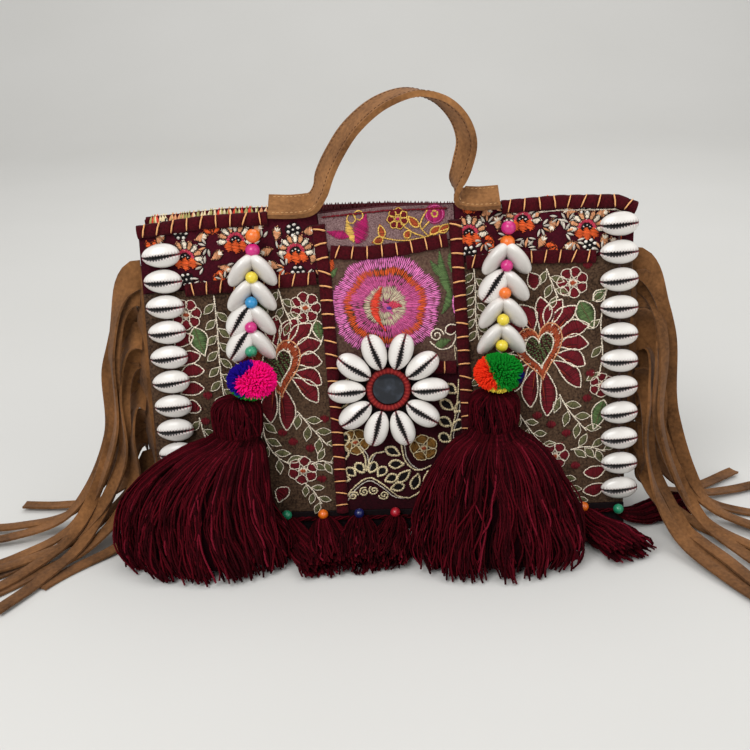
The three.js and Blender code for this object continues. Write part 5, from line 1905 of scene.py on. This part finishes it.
def tassel_spot(tassel, drop, angle, reach):
    _, head_x, head_top, sway, lean = tassel
    half, deep, forward, side = (np.interp(drop, TASSEL_FORM[:, 0], TASSEL_FORM[:, k]) for k in range(1, 5))
    head = on_front(head_x, head_top - HEAD_DROP, TASSEL_OUT)
    x = head[0] + sway * side + reach * half * np.cos(angle)
    y = head[1] - lean * forward + reach * deep * np.sin(angle)
    return columns(x, y, lerp(head_top, FLOOR_GAP, drop))


print(len(TASSEL_ROWS), "rows give the form of a tassel")

# %% The strands of a tassel
SKIRT_STRANDS = 1000
SKIRT_STEPS = 18
LOCKS = 48
HEAD_STRANDS = 210
LOOSE_SHARE = 0.1
LOOSE_DRIFT = 5.0
LOCK_PULL = 0.65


def tassel_skirt(tassel, dice):
    """Strands that leave the neck evenly, gather into locks on the way down and wave a little."""
    size = (SKIRT_STRANDS, 1)
    turn = dice.uniform(-1, 1, size)
    angle = -np.pi / 2 + np.pi * np.sign(turn) * np.abs(turn) ** 1.25
    centres = dice.uniform(-np.pi, np.pi, LOCKS)
    away = (centres - angle + np.pi) % (2 * np.pi) - np.pi
    lock = np.abs(away).argmin(axis=1)[:, None]
    gather = np.take_along_axis(away, lock, axis=1)
    loose = np.where(dice.uniform(0, 1, size) < LOOSE_SHARE, LOOSE_DRIFT, 1.0)
    reach = np.sqrt(dice.uniform(0.5, 1.0, size))
    drop = lerp(NECK - 0.02, dice.uniform(0.9, 1.0, size), np.linspace(0, 1, SKIRT_STEPS))
    fall = smooth_step(drop, NECK, 0.75)
    drift = (LOCK_PULL * gather + dice.normal(0, 0.05, size) * loose) * fall
    skirt = tassel_spot(tassel, drop, angle + drift, lerp(0.96, reach, smooth_step(drop, NECK, 0.45)))
    phase = dice.uniform(0, 2 * np.pi, (4, SKIRT_STRANDS, 1))
    crimp = dice.uniform(0.3, 1.5, size) * fall
    pace = dice.uniform(16, 34, size)
    slow_pace = dice.uniform(7, 12, LOCKS)[lock]
    slow_size = dice.uniform(0.8, 3.4, LOCKS)[lock] * fall
    for axis in (0, 1):
        slow_phase = dice.uniform(0, 2 * np.pi, LOCKS)[lock]
        skirt[..., axis] += crimp * np.sin(phase[axis] + pace * drop)
        skirt[..., axis] += slow_size * np.sin(slow_phase + slow_pace * drop)
        skirt[..., axis] += dice.normal(0, 2.2, size) * smooth_step(drop, 0.8, 1.0)
    rest = 0.8 + dice.uniform(0, 5, size) * (1 - reach**2)
    skirt[..., 2] = np.maximum(skirt[..., 2], rest)
    # Strands deep in the bundle are painted darker, as painted shade inside it.
    depth = 0.3 + 0.7 * smooth_step(reach, 0.72, 0.98)
    return skirt, wine_tints(dice, SKIRT_STRANDS) * depth


def tassel_head(tassel, dice):
    """Strands folded over the top: they start at the middle, go out and run down to the neck."""
    drop = np.concatenate([[0.004, 0.006, 0.012], np.linspace(0.03, NECK + 0.02, 12)])
    out = np.concatenate([[0.1, 0.55, 0.85], np.ones(12)])
    angle = dice.uniform(0, 2 * np.pi, (HEAD_STRANDS, 1))
    sway = dice.normal(0, 0.35, (HEAD_STRANDS, 1)) * (drop / NECK - 0.5)
    return tassel_spot(tassel, drop, angle + sway, out * dice.uniform(0.9, 1.03, (HEAD_STRANDS, 1)))


print(SKIRT_STRANDS + HEAD_STRANDS, "strands in a tassel")

# %% The two big tassels
STRAND = 1.6
WRAP_HALF = 0.006
CORE_SHARE = 0.74
for number, tassel in enumerate(TASSELS):
    dice = np.random.default_rng(21 + number)
    turns = np.linspace(0, 2 * np.pi, 25)
    wraps = tassel_spot(tassel, np.array([[NECK - WRAP_HALF], [NECK + WRAP_HALF]]), turns, 1.0)
    skirt, skirt_tints = tassel_skirt(tassel, dice)
    bundles = [skirt, tassel_head(tassel, dice), wraps]
    # The neck wraps are painted darker than the yarn, as painted shade at the pinched neck.
    tints = [skirt_tints, wine_tints(dice, HEAD_STRANDS), np.tile(paint(30, 2, 9), (len(wraps), 1))]
    name = f"tassel_{tassel[0]}"
    yarn_piece(f"{name}_yarn", bundles, STRAND, tints, nodes=[name], slot="maroon_yarn")
    # The core is yarn inside the skirt, painted near-black as shade deep in the bundle.
    core = loft(tassel_spot(tassel, np.linspace(0.02, 0.95, 30)[:, None], full_turn(28), CORE_SHARE))
    core_shade_tint = np.tile(paint(26, 2, 8), (len(core.points), 1))
    make_piece(f"{name}_core", core, YARN, core_shade_tint, slot="maroon_yarn")

# %% [markdown]
# ## The fringe along the hem
# Small tassels hang on a cord along the bottom edge, each from a bead. Those between the big tassels lie
# forward on the floor, and the rest are short. A row gives a tassel's place, how far it runs forward and to
# the side, half its width, how far it stands off and its bead.

# %% The hem fringe
HEM_TASSELS = [
    (-154, 9, 0, 8, 0, "yellow"),
    (-128, 9, 0, 8, 0, "red"),
    (-102, 9, 0, 8, 0, "navy"),
    (-76, 58, 27, 13, 0, "green"),
    (-50, 60, 8, 17, 0, "orange"),
    (-24, 58, 0, 17, 0, "navy"),
    (2, 55, -10, 15, 0, "red"),
    (28, 9, 0, 8, 0, "yellow"),
    (54, 9, 0, 8, 0, "green"),
    (80, 9, 0, 8, 0, "magenta"),
    (106, 9, 0, 8, 0, "navy"),
    (137, 52, 26, 16, 0, "orange"),
    (161, -24, 54, 12, 5, "green"),
]
HEM_FORM = np.array([(0, 0.08, 0.18, 0.5, 1), (0.3, 0.55, 0.76, 1.04, 1.1), (0.18, 0.28, 0.34, 0.46, 0.46)])
HEM_WIDE = 9
HEM_BEAD = 3.7
HEM_BEAD_PLACE = (0, -2.4, 5.2)
HEM_NECK = 0.08
HEM_CORD_Z = 11.0
HEM_CORD_OUT = GAP + HEM_CLOTH + GAP
HEM_CORD = 1.5
dice = np.random.default_rng(31)
bundles, tints, bead_spots = [], [], []
for x, reach, sway, half, out, colour in HEM_TASSELS:
    count, steps = (200, 12) if half > HEM_WIDE else (40, 6)
    size = (count, 1)
    start = on_front(x, HEM_CORD_Z, HEM_CORD_OUT + HEM_CORD)
    run = np.array([sway, -reach, 0.0])
    across = np.array([-reach, -sway, 0.0]) / np.hypot(reach, sway)
    angle = dice.uniform(0, 2 * np.pi, size)
    spread = np.sqrt(dice.uniform(0.15, 1, size))
    along = dice.uniform(0.82, 1.04, size) * np.linspace(0, 1, steps)
    wide, thick = (half * np.interp(along, HEM_FORM[0], sizes) for sizes in HEM_FORM[1:])
    pace = dice.uniform(9, 22, size)
    wave = dice.uniform(0.5, 1.7, size) * np.sin(dice.uniform(0, 6, size) + pace * along) * along
    lines = start + run * along[..., None] + across * (spread * wide * np.cos(angle) + wave)[..., None]
    lines[..., 1] -= out * np.minimum(1, along / HEM_NECK)
    middle = np.maximum(HEM_CORD_Z * (1 - along) ** 2, thick + FLOOR_GAP)
    lift = dice.uniform(0, 1.2, size) * np.sin(dice.uniform(0, 6, size) + pace * along) * along
    lines[..., 2] = np.maximum(middle + spread * thick * np.sin(angle) + lift, 0.9)
    bundles.append(lines)
    tints.append(wine_tints(dice, count))
    bead_spots.append(start + HEM_BEAD_PLACE - (0, out, 0))
cord_x = np.linspace(HEM_TASSELS[0][0] - 4, HEM_TASSELS[-1][0] + 4, 130)
for ply in range(3):
    turn = cord_x / 2.2 + ply * 2 * np.pi / 3
    cord = on_front(cord_x, HEM_CORD_Z + 1.1 * np.sin(turn), HEM_CORD_OUT + 0.9 + 0.7 * np.cos(turn))
    bundles.append(cord[None])
    tints.append(wine_tints(dice, 1))
yarn_piece("hem_fringe_yarn", bundles, STRAND, tints, nodes=["hem_fringe"], slot="maroon_yarn")
bead_row("hem_beads", bead_spots, [HEM_BEAD] * len(bead_spots), [row[5] for row in HEM_TASSELS])

# %% [markdown]
# ## Suede
# Suede is leather with a nap: soft, matt and a little uneven, darker where the nap lies away. Handle, strips
# and loops are all ribbons along a curve, so one function makes them with square edges.


# %% Suede and ribbons
def suede_finish(name, dark, light):
    constants = {"Roughness": 0.95, "Specular IOR Level": 0.1, "Sheen Weight": 0.1}
    material, w = new_finish(name, constants)
    clouds = noise(w, 38, 4.0)
    nap = noise(w, 420, 3.0)
    share = 0.5 + 1.4 * (clouds - 0.5) + 0.8 * (nap - 0.5)
    colour = mixed(w, dark, light, share)
    return feed(material, base_color=colour, normal=raised(w, nap + clouds * 0.4, 0.35, 0.5))


SUEDE = suede_finish("handle_suede", paint(78, 47, 25), paint(168, 118, 72))
# The strips take the handle's suede in darker colours, as painted shade between the close-hung strips.
SHADED_STRIP_SUEDE = suede_finish("shaded_strip_suede", paint(56, 34, 17), paint(140, 95, 56))
RIBBON_STEPS = (-0.5, -0.25, 0, 0.25, 0.5)
RIBBON_RING = np.array([(x, -0.5) for x in RIBBON_STEPS] + [(-x, 0.5) for x in RIBBON_STEPS])


def ribbon_frame(path, wide):
    run = unit(np.gradient(path, axis=0))
    wide = unit(wide - run * (wide * run).sum(axis=1, keepdims=True))
    return wide, np.cross(run, wide)


def ribbon(path, wide, width, thickness, cup=0.0):
    """A strap along a path; cup curls its two edges off its middle."""
    wide, off = ribbon_frame(path, wide)
    lift = RIBBON_RING[:, 1] * thickness + cup * ((2 * RIBBON_RING[:, 0]) ** 2 - 0.4)
    breadth = np.reshape(width, (-1, 1, 1)) * RIBBON_RING[:, :1]
    return loft(path[:, None] + wide[:, None] * breadth + off[:, None] * lift[:, None])


print("suede is ready")

# %% [markdown]
# ## The handle
# A doubled strap stands up over the mouth, with its feet laid along the top edge and a seam near each edge
# on both faces. Its width points one way along the feet and another in the arch, and turns between the two.

# %% The handle
HANDLE_ROWS = [
    (-78, 234.5), (-60, 234), (-49, 236), (-43, 244), (-40, 254), (-33, 268), (-21, 285), (-2, 300),
    (19, 306), (37, 301), (49, 289), (54, 274), (51, 258), (47.5, 246), (50, 238), (60, 236),
    (76, 236.5),
]
HANDLE_Y = -15.5
HANDLE_WIDTH = 18.0
HANDLE_THICKNESS = 4.0
FOOT_TILT = math.radians(35)
ARCH_TURN = math.radians(32)
FOOT_SHARE = 0.12
SEAM_EDGE = 0.39
SEAM_LIFT = 0.1
SEAM_LENGTH = 0.66
handle_path = smooth_line([(x, HANDLE_Y, z) for x, z in HANDLE_ROWS], 170)
share = np.linspace(0, 1, len(handle_path))
bent = smooth_step(np.minimum(share, 1 - share) / FOOT_SHARE, 0.8, 1.8)[:, None]
foot_way = np.array([0, math.cos(FOOT_TILT), math.sin(FOOT_TILT)])
arch_way = np.array([-math.sin(ARCH_TURN), math.cos(ARCH_TURN), 0])
handle_wide = lerp(foot_way, arch_way, bent)
shape = ribbon(handle_path, handle_wide, HANDLE_WIDTH, HANDLE_THICKNESS)
make_piece("handle_suede", shape, SUEDE, nodes=["handle"], slot="suede_tan")

wide, off = ribbon_frame(handle_path, handle_wide)
seam_spots = np.arange(2, len(handle_path) - 3, 2)
starts, finishes, ups = [], [], []
for edge in (-SEAM_EDGE, SEAM_EDGE):
    for face in (-1, 1):
        seam = handle_path + wide * edge * HANDLE_WIDTH + off * face * (HANDLE_THICKNESS / 2 + SEAM_LIFT)
        starts.append(seam[seam_spots])
        finishes.append(lerp(seam[seam_spots], seam[seam_spots + 2], SEAM_LENGTH))
        ups.append(off[seam_spots] * face)
starts, finishes, ups = (np.concatenate(rows) for rows in (starts, finishes, ups))
on_foot = np.minimum(share, 1 - share)[seam_spots] < FOOT_SHARE
seam_tint = np.where(np.tile(on_foot, 4)[:, None], paint(196, 152, 104), paint(80, 49, 27))
stitch_piece("handle_stitches", starts, finishes, ups, 0.9, seam_tint)

# %% [markdown]
# ## Side fringes
# A suede band runs down the front of each side and is cut into strips, which fall and then run out along the
# floor. A row gives a strip's root height, its turn towards the front and how far it runs.

# %% One strip
STRIPS = {
    "left": [(188, 34, 150), (174, 45, 158), (160, 18, 144), (145, 40, 154), (130, 54, 150)]
    + [(115, 8, 138), (100, 48, 150), (84, -14, 108), (67, 36, 140), (50, 55, 108)],
    "right": [(188, 21, 128), (175, 44, 140), (162, 57, 146), (148, 8, 118), (134, 68, 164)]
    + [(120, 36, 136), (106, 61, 160), (92, -10, 112), (77, 66, 150), (62, 36, 126), (48, -24, 108)],
}
STRIP_KNOTS = [(0.8, 0, 0.74), (1, 0, 0.4), (0.75, 0.3, 0.07), (0.35, 0.66, 0.005), (0, 1, 0)]
BAND = {"front": 0.08, "back": 0.28, "top": 193, "low": 40, "thickness": 2.4, "clear": 1.2}
STRIP_DEPTHS = [0.15, 0.21, 0.27]
LAYER_LIFT = 2.0
STAND_OFF = (12.0, 36.0)
LEAVE_STRAIGHT = 4.0
LEAVE_OFF = 0.4
LEAVE_FALL = 0.94
STRIP_FLARE = 1.3
RING_FLARE = 0.95
RING_HEIGHT = 170.0
RING_ROOM = 12.0
STRIP_SWAY = 6.0
STRIP_TWIST = 0.7
STRIP_CUP = 0.5
STRIP_HANGS = (8, 45)
STRIP_CUT = 0.16
STRIP_WIDTH = 9.0
STRIP_THICKNESS = 1.6
SIDES = {"left": -1, "right": 1}


def turned_about(vectors, axes, angles):
    """Turns each vector about its own axis."""
    cosine, sine = np.cos(angles)[:, None], np.sin(angles)[:, None]
    along = axes * (vectors * axes).sum(axis=1, keepdims=True) * (1 - cosine)
    return vectors * cosine + np.cross(axes, vectors) * sine + along


def strip(root, turn, run, side, number):
    """One strip: it leaves the band, droops, and lies flat where it meets the floor."""
    layer = number % len(STRIP_DEPTHS)
    face = BAND["clear"] + BAND["thickness"] - STRIP_THICKNESS / 2
    start = on_gusset(side_share(root, side), STRIP_DEPTHS[layer], face)
    off = lerp(*STAND_OFF, (root - BAND["low"]) / (BAND["top"] - BAND["low"]))
    floor = STRIP_THICKNESS / 2 + FLOOR_GAP
    foot = start * (1, 1, 0)
    way = np.array([side * math.cos(math.radians(turn)), -math.sin(math.radians(turn)), 0])
    knots = [start, start + (side * LEAVE_STRAIGHT, 0, 0)]
    knots.append(foot + (side * off * LEAVE_OFF, 0, floor + LEAVE_FALL * root))
    for share_off, share_run, fall in STRIP_KNOTS:
        height = floor + fall * root + layer * LAYER_LIFT
        knots.append(foot + way * (share_off * off + share_run * run) + (0, 0, height))
    path = smooth_line(knots, 64)
    share = np.linspace(0, 1, len(path))
    sway = STRIP_SWAY * np.sin(2.1 * number + 5 * share) * smooth_step(share, 0.1, 0.5)
    path = path + np.outer(sway, (-way[1], way[0], 0))
    forward = unit(np.gradient(path, axis=0))
    hangs = smooth_step(path[:, 2], *STRIP_HANGS)
    facing = lerp(np.array([0, 0, 1]), np.array([side * 0.5, -1, 0]), hangs[:, None])
    twist = STRIP_TWIST * np.sin(2.4 * number + 4 * share) * hangs
    wide = turned_about(np.cross(forward, facing), forward, twist)
    flare = RING_FLARE if abs(root - RING_HEIGHT) < RING_ROOM else STRIP_FLARE
    width = STRIP_WIDTH * (1 + flare * (1 - smooth_step(share, 0, STRIP_CUT)))
    return ribbon(path, wide, width, STRIP_THICKNESS, STRIP_CUP * math.sin(1.7 * number))


print(sum(len(rows) for rows in STRIPS.values()), "strips to cut")

# %% The side fringes
for name, rows in STRIPS.items():
    side = SIDES[name]

    def band_wall(u, v, face):
        share = side_share(lerp(BAND["top"], BAND["low"], u), side)
        out = BAND["clear"] + BAND["thickness"] * (1 - face)
        return on_gusset(share, lerp(BAND["front"], BAND["back"], v), out)

    shapes = [slab(60, 8, band_wall)]
    shapes += [strip(*row, side, number) for number, row in enumerate(rows)]
    fringe = f"side_fringe_{name}"
    make_piece(f"{fringe}_suede", joined(shapes), SHADED_STRIP_SUEDE, nodes=[fringe], slot="suede_tan")

# %% [markdown]
# ## D-rings
# The rings for a shoulder strap hang in suede loops near the top of each side. They are the only hard
# pieces that swing, so each rides on its own body.

# %% The D-rings
RING_WIRE = 1.3
RING_HALF_BAR = 8.0
RING_DROP = 16.0
LOOP_REACH = 5.6
LOOP_MIDDLE = 3.1
LOOP_WALL = 1.8
LOOP_WIDTH = 10.0
LOOP_FOOT = 5.0
LOOP_CLEAR = 1.7
RING_DEPTH = 0.7
BAR_INSET = 0.6


def metal_finish():
    material, w = new_finish("antique_metal", {"Metallic": 1.0})
    wear = noise(w, 90, 4.0)
    colour = mixed(w, paint(70, 62, 52), paint(150, 136, 112), wear)
    return feed(material, base_color=colour, roughness=0.28 + 0.25 * wear)


METAL = metal_finish()
for name, side in SIDES.items():
    spot = on_gusset(side_share(RING_HEIGHT, side), RING_DEPTH, GAP + LOOP_CLEAR)
    turns = np.linspace(-np.pi / 2, np.pi / 2, 14)
    bow = columns(LOOP_REACH + LOOP_MIDDLE * np.cos(turns), LOOP_MIDDLE * np.sin(turns))
    flat = np.vstack([[0, -LOOP_FOOT + LOOP_WALL / 2], bow, [0, LOOP_FOOT - LOOP_WALL / 2]])
    path = smooth_line(columns(side * flat[:, 0], 0, flat[:, 1]) + spot, 40)
    wide = np.tile([0.0, 1.0, 0.0], (len(path), 1))
    loop = ribbon(path, wide, LOOP_WIDTH, LOOP_WALL)
    make_piece(f"ring_loop_{name}_suede", loop, SUEDE, nodes=[f"ring_loop_{name}"], slot="suede_tan")
    turns = np.linspace(0, np.pi, 25)
    straight = RING_DROP - RING_HALF_BAR
    bow = columns(RING_HALF_BAR * np.cos(turns), -straight - RING_HALF_BAR * np.sin(turns))
    half_bar = RING_HALF_BAR - BAR_INSET
    bar = columns(np.linspace(-half_bar, half_bar, 12), 0)
    outline = np.vstack([bar, bow])
    centre = spot + (side * LOOP_REACH, 0, 0)
    path = columns(0, outline[:, 0], outline[:, 1]) + centre
    run = unit(np.roll(path, -1, axis=0) - np.roll(path, 1, axis=0))
    flank = np.cross(run, (1.0, 0.0, 0.0))
    turns = full_turn(12)[:, None]
    ring = flank[:, None] * np.cos(turns) + np.array([1.0, 0, 0]) * np.sin(turns)
    shape = loft(path[:, None] + ring * RING_WIRE, loop=True)
    label = f"d_ring_{name}"
    make_piece(f"{label}_wire", shape, METAL, nodes=[label], slot="ring_metal", body=f"ring_{name}")
